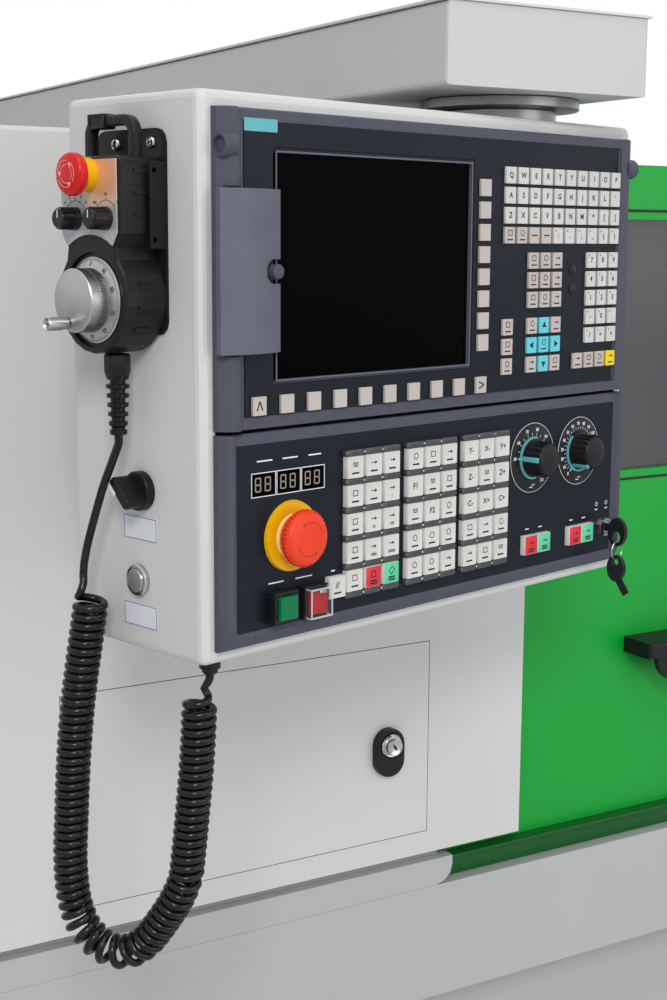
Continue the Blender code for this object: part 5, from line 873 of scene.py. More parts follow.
# %% [markdown]
# The print on the keys is generic: single letters, figures and arrows as any keyboard has them. The
# words stay off, and a short bar stands where one was. Each mark is a very thin solid on the cap, so
# it is a sharp edge from any distance and needs no picture.

# %% Marks on the small keys
CAP_TOP = SMALL_KEY[2] - 0.12 * MM
WORD_BAR = (7.2 * MM, 1.1 * MM)
PRINT = 0.1 * MM
ICON_UP, BAR_DOWN = 2.0 * MM, 3.6 * MM


def on_cap(spot, right=0.0, up=0.0):
    return (spot[0] + right, spot[1] + up, CAP_TOP)


def pointer(size, place=(0, 0, 0), turn=0.0):
    """A filled triangle that points up when it isn't turned."""
    alone()
    bpy.ops.mesh.primitive_circle_add(vertices=3, radius=size, fill_type="NGON")
    piece = editing()
    push_out(PRINT)
    return placed(closed(piece), place, turn)


def chevron(size, place, turn=0.0):
    strokes = [placed(block(size, size * 0.16, PRINT), (side * size * 0.2, 0, 0), -side * math.radians(68))
               for side in (-1, 1)]
    return placed(joined(strokes), place, turn)


key_print = []
for text, spot in zip("QWERTYUIOPASDFGHJKL'ZXCVBNM*[]", letter_keys):
    key_print.append(figures(text, 6.4 * MM, on_cap(spot)))
for text, spot in zip(":,;_()", letter_keys[34:]):
    key_print.append(figures(text, 6.4 * MM, on_cap(spot)))
for text, spot in zip("789456123-0./=+", pad_keys):
    key_print.append(figures(text, 6.2 * MM, on_cap(spot)))
dot_spots = [on_cap(spot, -3.8 * MM, 4.1 * MM) for spot in letter_keys[34:] + pad_keys]
key_print += copied(block(1.2 * MM, 1.2 * MM, PRINT), dot_spots)
for key, turn in (((3, 0), 0), ((2, 1), 90), ((4, 1), -90), ((3, 2), 180)):
    key_print.append(pointer(3.4 * MM, on_cap(arrow_keys[key]), math.radians(turn)))
key_print.append(chevron(7 * MM, on_cap(soft_row[0])))
key_print.append(chevron(7 * MM, on_cap(soft_row[-1]), math.radians(-90)))

icon_spots = menu_keys + side_menu + [arrow_keys[(3, 1)]] + last_keys + letter_keys[30:32]
ICONS = {
    "frame": lambda: frame_line(5.4 * MM, 4.6 * MM, 0.6 * MM, PRINT),
    "ring": lambda: flat_ring(2.6 * MM, 0.6 * MM, PRINT, steps=20),
    "arrow": lambda: joined([block(3.6 * MM, 0.7 * MM, PRINT, (-0.8 * MM, 0, 0)),
                             pointer(1.6 * MM, (1.8 * MM, 0, 0), math.radians(-90))]),
}
for index, (kind, make) in enumerate(ICONS.items()):
    key_print += copied(make(), [on_cap(spot, 0, ICON_UP) for spot in icon_spots[index::len(ICONS)]])
key_print += copied(block(*WORD_BAR, PRINT), [on_cap(spot, 0, -BAR_DOWN) for spot in icon_spots])
key_print += copied(block(*WORD_BAR, PRINT), [on_cap(spot) for spot in letter_keys[32:34]])
print(len(key_print), "marks")
finish(key_print, "screen_key_print", "mark_dark", "pendant", "black_plastic", face_board, CRISP)

# %% [markdown]
# The keys of the lower panel are taller caps that a finger finds without looking, with grey ridges
# between the rows. A cap has a dished face in a raised rim. The coloured keys are the same caps with a
# coloured plate on them. The ridges are slim bars with rounded ends, and a small bright peg stands
# between two columns.

# %% Big keys, ridges and pegs
BIG_KEY = (17.4 * MM, 16.9 * MM, 5.4 * MM)
BLOCK_LEFTS, BLOCK_PITCH, BLOCK_TOP, BLOCK_ROW = (0.1287, 0.1965, 0.2638), 0.0203, 0.0335, 0.0217
BIG_TOP = BIG_KEY[2] - 0.35 * MM
BIG_PLATE = (16.2 * MM, 15.7 * MM, 1.0 * MM)
PLATE_SUNK = 0.45 * MM
LAST_ROW = -0.1227
RESET_KEY = (0.11, LAST_ROW, 0)
PAIR_LEFTS, PAIR_PITCH = (0.3459, 0.4093), 0.0185


def big_cap():
    cap = block(*BIG_KEY)
    pick(cap, facing_out)
    bpy.ops.transform.resize(value=(0.96, 0.96, 1), center_override=(0, 0, BIG_KEY[2]))
    bpy.ops.object.mode_set(mode="OBJECT")
    hollowed(cap, 1.0 * MM, 0.35 * MM)
    return softened(cap, 0.4 * MM, 2, 25)


block_keys = [[(left + BLOCK_PITCH * column, -BLOCK_TOP - BLOCK_ROW * row, 0)
               for row in range(5) for column in range(3)] for left in BLOCK_LEFTS]
STOP_KEY, START_KEY = block_keys[0][13], block_keys[0][14]
red_keys = [STOP_KEY] + [(left, LAST_ROW, 0) for left in PAIR_LEFTS]
green_keys = [START_KEY] + [(left + PAIR_PITCH, LAST_ROW, 0) for left in PAIR_LEFTS]
white_keys = [spot for keys in block_keys for spot in keys if spot not in (STOP_KEY, START_KEY)]
white_keys.append(RESET_KEY)
finish(copied(big_cap(), white_keys + red_keys + green_keys), "panel_key_white", "key_white", "pendant",
       "charcoal", lower_board)
for look, spots in (("key_red", red_keys), ("key_green", green_keys)):
    plates = copied(softened(block(*BIG_PLATE), 0.3 * MM, 2, 60),
                    [(x, y, BIG_TOP - PLATE_SUNK) for x, y, z in spots])
    finish(plates, "panel_" + look, look, "pendant", "charcoal", lower_board)


def ridge():
    bar = slab(19.9 * MM, 4.7 * MM, 4.6 * MM, 2.3 * MM, segments=5)
    return softened(bar, 1.7 * MM, 3, 60)


ridge_spots = [(left + BLOCK_PITCH * column, -BLOCK_TOP - BLOCK_ROW * row + BLOCK_ROW / 2, 0)
               for left in BLOCK_LEFTS for column in range(3) for row in range(6)]
finish(copied(ridge(), ridge_spots), "panel_ridges", "ridge_grey", "pendant", "charcoal", lower_board, 50)
peg_spots = [(left + BLOCK_PITCH * (column + 0.5), -BLOCK_TOP - BLOCK_ROW * row + BLOCK_ROW / 2, 0)
             for left in BLOCK_LEFTS for column in range(2) for row in range(6)]
peg = turned(mm((0.9, 0), (0.9, 4.2), (0.5, 4.7)), 12)
finish(copied(peg, peg_spots), "panel_pegs", "chrome", "pendant", "chrome", lower_board)
print(len(white_keys), "white keys,", len(ridge_spots), "ridges,", len(peg_spots), "pegs")

# %% [markdown]
# Their print again has figures, axis letters with a sign, and simple signs: a ring, an arrow, a frame
# and a wave. A machine of this kind has them in this order whoever made it.

# %% Marks on the big keys
BIG_BAR = (7.6 * MM, 1.3 * MM)
SIGN_UP, BIG_BAR_DOWN = 2.0 * MM, 4.4 * MM
PLATE_TOP = BIG_TOP + 0.55 * MM


def wave():
    strokes = [block(0.6 * MM, 3.4 * MM, PRINT, (step * 1.5 * MM, 0, 0)) for step in (-1.5, -0.5, 0.5, 1.5)]
    strokes += [block(1.9 * MM, 0.6 * MM, PRINT, (step * 1.5 * MM, side * 1.5 * MM, 0))
                for step, side in ((-1, 1), (0, -1), (1, 1))]
    return joined(strokes)


def on_key(spot, right=0.0, up=0.0):
    return (spot[0] + right, spot[1] + up, BIG_TOP)


def on_plate(spot, up):
    return (spot[0], spot[1] + up, PLATE_TOP)


BIG_ICONS = dict(ICONS, wave=wave)
KEY_SIGNS = (
    ("wave", "arrow", "arrow", "frame", "arrow", "arrow", "frame", "arrow",
     "arrow", "frame", "arrow", "arrow", "frame", "", ""),
    ("ring", "frame", "arrow", "F1", "wave", "frame", "wave", "F2",
     "ring", "ring", "ring", "ring", "ring", "ring", "arrow"),
    ("Y-", "X-", "Y+", "Z-", "wave", "Z+", "C-", "X+",
     "C+", "frame", "arrow", "ring", "arrow", "frame", "wave"),
)
STEP_FIGURES = {5: "1", 7: "10", 8: "100", 10: "1000", 11: "10000"}
big_print, bar_spots, spots_of = [], [], {sign: [] for sign in BIG_ICONS}
for block_index, (keys, signs) in enumerate(zip(block_keys, KEY_SIGNS)):
    for index, (spot, sign) in enumerate(zip(keys, signs)):
        if sign in BIG_ICONS:
            spots_of[sign].append(on_key(spot, 0, SIGN_UP))
        elif sign:
            big_print.append(figures(sign, 6.4 * MM, on_key(spot)))
        if block_index == 0 and index in STEP_FIGURES:
            big_print.append(figures(STEP_FIGURES[index], 3.4 * MM, on_key(spot, 0, -BIG_BAR_DOWN)))
        elif sign in BIG_ICONS:
            bar_spots.append(on_key(spot, 0, -BIG_BAR_DOWN))
for sign, spots in spots_of.items():
    big_print += copied(BIG_ICONS[sign](), spots)
for spot in red_keys + green_keys:
    bar_spots += [on_plate(spot, -3.2 * MM), on_plate(spot, -5.2 * MM)]
big_print.append(placed(frame_line(5.2 * MM, 5.2 * MM, 0.8 * MM, PRINT), on_plate(STOP_KEY, SIGN_UP)))
big_print += copied(BIG_ICONS["arrow"](),
                    [on_plate(spot, SIGN_UP) for spot in red_keys[1:] + green_keys[1:]])
big_print.append(placed(BIG_ICONS["frame"](), on_plate(START_KEY, SIGN_UP), math.radians(45)))
big_print += [placed(block(0.8 * MM, 5 * MM, PRINT), on_key(RESET_KEY, side * MM, 1.6 * MM),
                     math.radians(-20)) for side in (-1, 1)]
bar_spots.append(on_key(RESET_KEY, 0, -BIG_BAR_DOWN))
big_print += copied(block(*BIG_BAR, PRINT), bar_spots)
finish(big_print, "panel_key_print", "mark_dark", "pendant", "black_plastic", lower_board, CRISP)
print("the lower keys are printed")

# %% [markdown]
# Three small displays show two figures each. The CAD has their pockets. A pane fills each pocket, a
# thin printed frame goes round it, and the unlit figure eight is made of seven slim bars. The words
# above them are short white bars.

# %% Displays and printed lines of the lower panel
DISPLAY_LEFT, DISPLAY_PITCH, DISPLAY_TOP = 0.0284, 0.0246, 0.0295
DISPLAY_SIZE = (22.3 * MM, 16.1 * MM)
display_spots = [(DISPLAY_LEFT + DISPLAY_PITCH * index + DISPLAY_SIZE[0] / 2,
                  -DISPLAY_TOP - DISPLAY_SIZE[1] / 2, 0) for index in range(3)]


def eight():
    across, high, line = 5.4 * MM, 10.6 * MM, 1.0 * MM
    bars = [block(across - line, line, PRINT, (0, level * (high - line) / 2, 0)) for level in (-1, 0, 1)]
    bars += [block(line, high / 2 - line * 0.8, PRINT,
                   (side * (across - line / 2) / 2, level * high / 4.2, 0))
             for side in (-1, 1) for level in (-1, 1)]
    return joined(bars)


glass = block(DISPLAY_SIZE[0] - 0.2 * MM, DISPLAY_SIZE[1] - 0.2 * MM, 0.7 * MM)
glasses = copied(softened(glass, 0.2 * MM, 1, 60), [(x, y, -1.5 * MM) for x, y, z in display_spots])
finish(glasses, "display_panes", "black_glass", "pendant", "black_glass", lower_board)
eights = copied(eight(), [(x + side * 4.7 * MM, y, -0.8 * MM)
                          for x, y, z in display_spots for side in (-1, 1)])
finish(eights, "display_figures", "mark_dull", "pendant", "black_glass", lower_board, CRISP)

PRINT_ON_PANEL = 0.12 * MM
lines = copied(frame_line(DISPLAY_SIZE[0] + 1.6 * MM, DISPLAY_SIZE[1] + 1.6 * MM, 0.6 * MM,
                          PRINT_ON_PANEL), display_spots)
WORDS = ((0.0405, -0.0205, 15), (0.0655, -0.0205, 15), (0.0905, -0.0205, 13), (0.0515, -0.1108, 15),
         (0.0795, -0.1108, 17), (0.3459, -0.1095, 5), (0.3644, -0.1095, 5), (0.4093, -0.1095, 5),
         (0.4278, -0.1095, 5), (0.447, -0.1045, 4), (0.462, -0.1045, 4), (0.110, -0.1108, 4))
lines += [block(length * MM, 1.0 * MM, PRINT_ON_PANEL, (x, y, 0)) for x, y, length in WORDS]
lines += [flat_ring(1.9 * MM, 0.5 * MM, PRINT_ON_PANEL, (x, -0.0995, 0), 16) for x in (0.447, 0.462)]
finish(lines, "panel_print", "mark_white", "pendant", "charcoal", lower_board, CRISP)
print(len(display_spots), "displays,", len(WORDS), "word bars")

# %% [markdown]
# The two override dials have a printed disc, a ribbed knob and a pale pointer. The knob is a turned
# body with grip ribs copied round it. The pointer is a crescent at the knob's foot with a wedge that
# runs to the figures. The disc stays on the panel, and the knob and pointer turn with the dial.

# %% Override dials
DIALS = {"spindle_dial": (0.351, 178, range(50, 121, 10)), "feed_dial": (0.417, 232, range(0, 121, 10))}
DIAL_UP, DIAL_SWEEP = -0.048, -math.radians(236)
DISC_RADIUS, DISC_TOP = 29.5 * MM, 0.4 * MM
for name, (x, degrees, scale) in DIALS.items():
    middle, points_to = (x, DIAL_UP, 0), math.radians(degrees)
    disc = turned([(DISC_RADIUS, 0), (DISC_RADIUS, 0.25 * MM), (DISC_RADIUS - 0.4 * MM, DISC_TOP)], 64)
    finish(placed(disc, middle), name + "_disc", "dial_black", "pendant", "black_plastic", lower_board)
    spread = around(len(scale), 24.3 * MM, points_to, DIAL_SWEEP)
    marks = [flat_ring(DISC_RADIUS + 0.5 * MM, 0.35 * MM, 0.2 * MM, steps=64)]
    marks += [figures(str(number), 3.9 * MM, (right, up, DISC_TOP))
              for number, (angle, right, up) in zip(scale, spread)]
    ticks = around(len(scale) * 2 - 1, 20.4 * MM, points_to, DIAL_SWEEP)
    marks += [placed(block(2.2 * MM, 0.45 * MM, PRINT), (right, up, DISC_TOP), angle)
              for angle, right, up in ticks]
    marks += [block(4.4 * MM, 0.7 * MM, PRINT, (side * 1.4 * MM, -24.5 * MM + side * MM, DISC_TOP))
              for side in (-1, 1)]
    finish([placed(mark, middle) for mark in marks], name + "_scale", "mark_white", "pendant",
           "black_plastic", lower_board, CRISP)

    knob = turned(mm((17.2, 0.5), (17.2, 2.0), (14.6, 2.6), (13.6, 17.6), (12.8, 18.7), (11.6, 19.2)), 48)
    rib = softened(block(1.5 * MM, 1.7 * MM, 15.6 * MM, (0, 0, 2.4 * MM)), 0.4 * MM, 1, 60)
    ribs = copied(rib, [(right, up, 0, angle) for angle, right, up in around(18, 14.2 * MM)])
    finish(placed(joined([knob] + ribs), middle), name + "_knob", "black_plastic", name, "black_plastic",
           lower_board, stands_for=(name,))
    crescent = flat_ring(18.3 * MM, 2.2 * MM, 1.6 * MM, (0, 0, 0.5 * MM), 64)
    pick(crescent, everything)
    bpy.ops.mesh.bisect(plane_co=(-4 * MM, 0, 0), plane_no=(1, 0, 0), use_fill=True, clear_inner=True)
    closed(crescent)
    wedge = block(9.4 * MM, 4.6 * MM, 1.6 * MM, (17.2 * MM, 0, 0.6 * MM))
    pick(wedge, lambda middle, normal: normal.x > FACING)
    bpy.ops.transform.resize(value=(1, 0.18, 1), center_override=(21 * MM, 0, 0.6 * MM))
    bpy.ops.object.mode_set(mode="OBJECT")
    upright = block(2.4 * MM, 4.2 * MM, 15.8 * MM, (14.9 * MM, 0, 2.0 * MM))
    pointer_piece = joined([crescent, softened(wedge, 0.2 * MM, 1, 40), softened(upright, 0.4 * MM, 2, 60)])
    finish(placed(pointer_piece, middle, points_to), name + "_pointer", "pointer_teal", name,
           "black_plastic", lower_board)
print("two dials")

# %% [markdown]
# The emergency stop is a mushroom with a grip round its edge, a yellow ring under it that light gets
# into, and arrows on its face that say how it unlocks. That light is painted: the collar at its foot is a
# pale yellow that stands in for the glow, and no lamp is in it. The head is turned as one profile, and
# the grip is forty small ribs copied round the edge.

# %% Emergency stop
STOP, STOP_FACE, STOP_ARROWS = (0.066, -0.078), 20.82 * MM, 12.5 * MM


def arc(radius, width, start, sweep, steps=14, depth=PRINT):
    """A printed arc from short straight strokes."""
    length = radius * sweep / (steps - 1) * 1.06
    return joined([placed(block(abs(length), width, depth), (right, up, 0), angle + math.pi / 2)
                   for angle, right, up in around(steps, radius, start, sweep)])


def arrow_head(size, radius, angle):
    """A triangle at a place round a circle, pointing along it."""
    return placed(pointer(size), (radius * math.cos(angle), radius * math.sin(angle), 0), angle)


def mushroom(edge, foot, shoulder, top, crown, ribs, steps=64):
    """A stop button's head: a neck, a rounded edge with grip ribs, and a crowned face."""
    round_in = (top - shoulder) * 0.28
    profile = [(edge * 0.59, foot), (edge * 0.59, shoulder - 0.9 * MM), (edge * 0.9, shoulder),
               (edge * 0.985, shoulder + round_in), (edge, (shoulder + top) / 2),
               (edge * 0.975, top - round_in), (edge * 0.90, top - round_in * 0.3), (edge * 0.82, top),
               (edge * 0.5, top + crown * 0.7), (edge * 0.2, top + crown)]
    head = turned(profile, steps)
    rib = block(edge * 0.08, edge * 0.085, top - shoulder - 2.2 * round_in,
                (0, 0, shoulder + round_in * 1.1))
    grip = copied(softened(rib, edge * 0.02, 1, 60),
                  [(right, up, 0, angle) for angle, right, up in around(ribs, edge * 0.99)])
    return joined([head] + grip)


head = mushroom(20.6 * MM, 4.8 * MM, 8.8 * MM, 20.4 * MM, 0.9 * MM, 40)
finish(placed(head, (*STOP, 0)), "stop_button_head", "red_plastic", "stop_button", "red_plastic",
       lower_board, stands_for=("stop_button",))
face_marks = []
for start in (20, 200):
    face_marks.append(arc(STOP_ARROWS, 0.5 * MM, math.radians(start), math.radians(95), depth=0.2 * MM))
    face_marks.append(arrow_head(1.5 * MM, STOP_ARROWS, math.radians(start + 100)))
finish([placed(mark, (*STOP, STOP_FACE)) for mark in face_marks], "stop_button_arrows", "stop_arrows",
       "stop_button", "red_plastic", lower_board, CRISP)
collar = softened(flat_ring(16.6 * MM, 3.6 * MM, 3.7 * MM, (0, 0, 0.4 * MM), 64), 0.7 * MM, 2, 60)
# The collar's pale tone is a painted glow, not a lamp.
finish(placed(collar, (*STOP, 0)), "stop_collar", "painted_glow_pale", "pendant", "yellow_plastic", lower_board)
print("emergency stop")

# %% [markdown]
# Around the keys there are a few plain fittings: two dark sensor windows, the bare plate in the corner,
# the open housings of the two push buttons, and the rim and latch of the guard. The rim and its corner
# posts are pale, half clear plastic, a painted highlight along the guard's clear edges. The housings are
# four walls each, because the button works in the opening between them.

# %% Fittings on the panels
sensor_spots = [(0.4, -MENU_TOP - GRID_ROW * row - GRID_ROW / 2, 0) for row in (0, 1)]
sensors = copied(turned(mm((4.3, 0), (4.3, 0.7), (3.6, 1.0)), 24), sensor_spots)
finish(sensors, "screen_sensors", "dial_black", "pendant", "black_plastic", face_board)
plate = softened(slab(31 * MM, 8.8 * MM, 0.5 * MM, 0.6 * MM, (0.0375, -0.0110, 0)), 0.15 * MM, 1, 60)
finish(plate, "bare_plate", "pointer_teal", "pendant", "charcoal", face_board)
HOUSINGS = ((23.6, 2.9, 10.4, (0.053, -0.128, 0)), (24.6, 3.3, 8.4, (0.085, -0.129, 0)))
walls = [softened(frame_line(size * MM, size * MM, wall * MM, rise * MM, place), 0.5 * MM, 2, 60)
         for size, wall, rise, place in HOUSINGS]
finish(walls, "button_housings", "black_plastic", "pendant", "black_plastic", lower_board)
GUARD, GUARD_SIZE, GUARD_WALL = (0.0846, -0.129), 22.4 * MM, 1.0 * MM
GUARD_FOOT, GUARD_TOP = 8.8 * MM, 14.2 * MM
GUARD_RISE = GUARD_TOP - GUARD_FOOT
lid = block(GUARD_SIZE, GUARD_SIZE, GUARD_RISE, (*GUARD, GUARD_FOOT))
hollowed(lid, GUARD_WALL, -(GUARD_RISE - GUARD_WALL), facing_in)
finish(softened(lid, 0.3 * MM, 1, 60), "guard_clear", "guard_glass", "button_guard", "clear_glass",
       lower_board, stands_for=("button_guard",))
# The rim and posts carry a painted highlight along the guard's edges.
rim = frame_line(GUARD_SIZE, GUARD_SIZE, 1.3 * MM, 0.8 * MM, (*GUARD, GUARD_TOP - 0.3 * MM))
rim = softened(rim, 0.2 * MM, 1, 60)
edge = (GUARD_SIZE - 0.9 * MM) / 2
posts = [block(GUARD_WALL, GUARD_WALL, GUARD_RISE,
               (GUARD[0] + side * edge, GUARD[1] + level * edge, GUARD_FOOT))
         for side in (-1, 1) for level in (-1, 1)]
finish([rim] + posts, "guard_rim", "guard_painted_highlight", "button_guard", "clear_glass", lower_board)
latch_place = (GUARD[0], GUARD[1] + 9.0 * MM, GUARD_TOP + 0.4 * MM)
latch = softened(slab(7 * MM, 2.6 * MM, 1.2 * MM, 0.6 * MM, latch_place), 0.3 * MM)
finish(latch, "guard_latch", "chrome", "button_guard", "chrome", lower_board)
print("fittings on the panels")

# %% [markdown]
# On the left side of the cabinet there are two bare labels with a blue line round them, and the
# selector has a white stripe on its grip. A label is a thin plate with rounded corners.

# %% Labels and stripe on the side
LABELS = ((-0.2964, 0.0692), (-0.3616, 0.0700))
LABEL_SIZE, LABEL_THICKNESS = (17.8 * MM, 38.5 * MM), 0.5 * MM
for number, (up, back) in enumerate(LABELS, 1):
    paper = softened(slab(*LABEL_SIZE, LABEL_THICKNESS, 1.0 * MM, (up, back, 0)), 0.15 * MM, 1, 60)
    finish(paper, f"side_label_{number}", "label_white", "pendant", "light_paint", side_board)
    border = frame_line(LABEL_SIZE[0] - 1.0 * MM, LABEL_SIZE[1] - 1.0 * MM, 0.5 * MM, PRINT,
                        (up, back, LABEL_THICKNESS))
    finish(border, f"side_label_line_{number}", "label_blue", "pendant", "light_paint", side_board, CRISP)
SELECTOR, SELECTOR_TURN = (-0.268, 0.066), math.radians(45)
stripe = softened(block(11 * MM, 2.8 * MM, 0.4 * MM, (7.4 * MM, 4.0 * MM, 22.0 * MM)), 0.1 * MM, 1, 60)
finish(placed(stripe, (*SELECTOR, 0), SELECTOR_TURN), "selector_stripe", "mark_white", "selector",
       "black_plastic", side_board)
print("labels and stripe")

# %% [markdown]
# The handheld unit hangs in a bent sheet that two cross-head screws hold to the cabinet. Its housing
# has thin moulded ribs for grip on the side. Its carrying loop is a plate with round corners whose
# middle is cut away, and a clamp sits on it.

# %% Handheld unit: screws, ribs, loop and clamp
SCREWS, SCREW_FOOT = ((-0.0230, 0.0871), (-0.0227, 0.0476)), 2.2 * MM
GRIP_RIBS = ((-0.052, 0.0379, 11, 17), (-0.065, 0.0379, 11, 17), (-0.078, 0.0379, 11, 17),
             (-0.118, 0.0345, 12, 14), (-0.129, 0.0332, 12, 14), (-0.140, 0.0345, 12, 14))


def cross_screw(radius, height):
    head = turned([(radius, 0), (radius, height * 0.35), (radius * 0.82, height * 0.8),
                   (radius * 0.5, height)], 24)
    slots = [placed(block(radius * 1.1, radius * 0.22, 0.15 * MM), (0, 0, height), math.radians(turn))
             for turn in (20, 110)]
    return head, joined(slots)


screw_heads, screw_slots = [], []
for up, back in SCREWS:
    head, slots = cross_screw(4.2 * MM, 2.4 * MM)
    screw_heads.append(placed(head, (up, back, SCREW_FOOT)))
    screw_slots.append(placed(slots, (up, back, SCREW_FOOT)))
finish(screw_heads, "bracket_screws", "chrome", "pendant", "chrome", side_board)
finish(screw_slots, "bracket_screw_slots", "mark_dark", "pendant", "black_plastic", side_board, CRISP)
ribs = [softened(block(0.9 * MM, 1.0 * MM, length * MM, (up, back, out * MM)), 0.3 * MM, 2, 60)
        for up, back, out, length in GRIP_RIBS]
finish(ribs, "handheld_ribs", "black_plastic", "pendant", "black_plastic", side_board)
loop = rounded_plane(42 * MM, 57 * MM, 14 * MM, (-0.0250, 0.0720, 12.5 * MM), 8)
loop = softened(opened(loop, 7.6 * MM, 8 * MM), 1.8 * MM, 3, 60)
finish(loop, "handle_loop", "black_plastic", "pendant", "black_plastic", side_board, 40,
       ("handheld_handle",))
clamp = softened(block(10.4 * MM, 19 * MM, 11 * MM, (-0.0080, 0.0850, 11.0 * MM)), 1.0 * MM, 3, 60)
hollowed(clamp, 2.2 * MM, 0.8 * MM)
finish(clamp, "handle_clamp", "black_plastic", "pendant", "black_plastic", side_board)
print("screws, ribs, loop and clamp")

# %% [markdown]
# The unit's stop button is a red mushroom on a yellow sleeve. The sleeve stays, and the hollow head goes
# down over it. The two small knobs are turned, with grip ribs, and have their scales printed on the
# plate. A scale is an arc, a few ticks and figures.

# %% Handheld unit: stop, knobs and scales
HAND_FACE = 38.7 * MM
HAND_STOP, HAND_STOP_FACE = (-0.0452, 0.0712), HAND_FACE + 18.68 * MM
sleeve = turned(mm((11.6, 0), (11.6, 8.4), (11.0, 9.2), (9.6, 9.4)), 48)
finish(placed(sleeve, (*HAND_STOP, HAND_FACE)), "handheld_sleeve", "yellow_plastic", "pendant",
       "yellow_plastic", side_board)
head = turned(mm((13.4, 9.8), (14.1, 10.4), (14.7, 12.0), (14.2, 13.0), (14.7, 14.2), (14.5, 16.0),
                 (13.4, 17.4), (11.0, 18.2), (6.0, 18.8), (2.0, 18.9)), 56)
hollowed(head, 1.3 * MM, -5.5 * MM, facing_in)
finish(placed(head, (*HAND_STOP, HAND_FACE)), "handheld_stop_head", "hand_red", "handheld_stop",
       "red_plastic", side_board, stands_for=("handheld_stop",))
marks = []
for start in (0, 120, 240):
    for radius, steps in ((9.0, 10), (6.2, 8)):
        marks.append(arc(radius * MM, 0.45 * MM, math.radians(start), math.radians(70), steps, 0.2 * MM))
    marks.append(arrow_head(2.4 * MM, 7.6 * MM, math.radians(start + 86)))
finish([placed(mark, (*HAND_STOP, HAND_STOP_FACE)) for mark in marks], "handheld_stop_arrows",
       "stop_pale", "handheld_stop", "red_plastic", side_board, CRISP)

KNOBS = {"axis_knob": (0.0870, "OXYZ4"), "step_knob": (0.0520, ("1", "10", "100"))}
KNOBS_UP = -0.0747
SCALE_LINE, SCALE_MARKS = (math.radians(-55), math.radians(110)), (math.radians(-48), math.radians(96))
for name, (back, scale) in KNOBS.items():
    middle = (KNOBS_UP, back, HAND_FACE)
    body = turned(mm((8.0, 0.4), (8.0, 3.2), (7.3, 3.6), (7.0, 14.4), (6.2, 15.5)), 32)
    rib = block(0.8 * MM, 0.9 * MM, 10.4 * MM, (0, 0, 3.6 * MM))
    ribs = copied(rib, [(x, y, 0, angle) for angle, x, y in around(14, 7.3 * MM)])
    finish(placed(joined([body] + ribs), middle), name + "_grip", "knob_black", name, "black_plastic",
           side_board, stands_for=(name,))
    tick = softened(block(5.2 * MM, 0.9 * MM, 0.3 * MM, (3.0 * MM, 0, 15.4 * MM)), 0.08 * MM, 1, 60)
    finish(placed(tick, middle), name + "_mark", "mark_white", name, "black_plastic", side_board)
    printed = [arc(12.2 * MM, 0.4 * MM, *SCALE_LINE, 16)]
    for angle, x, y in around(len(scale), 13.2 * MM, *SCALE_MARKS):
        printed.append(placed(block(2.0 * MM, 0.4 * MM, PRINT), (x, y, 0), angle))
    for text, (angle, x, y) in zip(scale, around(len(scale), 16.4 * MM, *SCALE_MARKS)):
        printed.append(figures(text, 3.0 * MM, (x, y, 0), math.radians(90)))
    finish([placed(mark, middle) for mark in printed], name + "_scale", "mark_dark", "pendant",
           "aluminium", side_board, CRISP)
print("stop, knobs and scales")

# %% [markdown]
# The handwheel is turned from aluminium. It has a sloping flange with a hundred engraved lines and ten
# numbers, a knurled band that the fingers hold, and a plain face. One line and one knurl rib are
# modelled and copied round. The lines lie on the slope, so they are tipped by its angle first.

# %% Handwheel and its peg
WHEEL, WHEEL_OUT, LINES = (-0.1305, 0.0710), 35.1 * MM, 100
SLOPE_OUTER, SLOPE_INNER = (29.3 * MM, 1.6 * MM), (22.6 * MM, 4.4 * MM)
SLOPE = math.atan2(SLOPE_INNER[1] - SLOPE_OUTER[1], SLOPE_OUTER[0] - SLOPE_INNER[0])
wheel = turned(mm((29.9, 0.2), (29.9, 1.2)) + [SLOPE_OUTER, SLOPE_INNER] +
               mm((21.6, 4.5), (21.6, 10.4), (22.0, 10.6), (22.0, 18.4), (21.3, 19.2), (20.4, 19.5)), 96)
knurl = block(1.3 * MM, 0.9 * MM, 6.4 * MM, (0, 0, 4.5 * MM))
knurls = copied(knurl, [(x, y, 0, angle) for angle, x, y in around(72, 21.7 * MM)])
finish(placed(joined([wheel] + knurls), (*WHEEL, WHEEL_OUT)), "handwheel_turned", "spun_aluminium",
       "handwheel", "aluminium", side_board, 25, ("handwheel",))


def on_slope(radius):
    share = (SLOPE_OUTER[0] - radius) / (SLOPE_OUTER[0] - SLOPE_INNER[0])
    return (radius, 0, SLOPE_OUTER[1] + share * (SLOPE_INNER[1] - SLOPE_OUTER[1]) - 0.02 * MM)


engraved = []
for length, every in ((2.6 * MM, 10), (1.6 * MM, 1)):
    line = placed(block(length, 0.42 * MM, 0.1 * MM), on_slope(28.9 * MM - length / 2), 0, (SLOPE, "Y"))
    turns = [math.tau * index / LINES for index in range(LINES) if (index % 10 == 0) == (every == 10)]
    engraved += copied(line, [(0, 0, 0, turn) for turn in turns])
for index in range(10):
    number = figures(str(index * 10), 4.0 * MM, (0, 0, 0), math.radians(-90))
    number = placed(number, on_slope(24.9 * MM), 0, (SLOPE, "Y"))
    engraved.append(placed(number, (0, 0, 0), math.tau * index / 10))
finish([placed(mark, (*WHEEL, WHEEL_OUT)) for mark in engraved], "handwheel_lines", "mark_dark",
       "handwheel", "aluminium", side_board, CRISP)

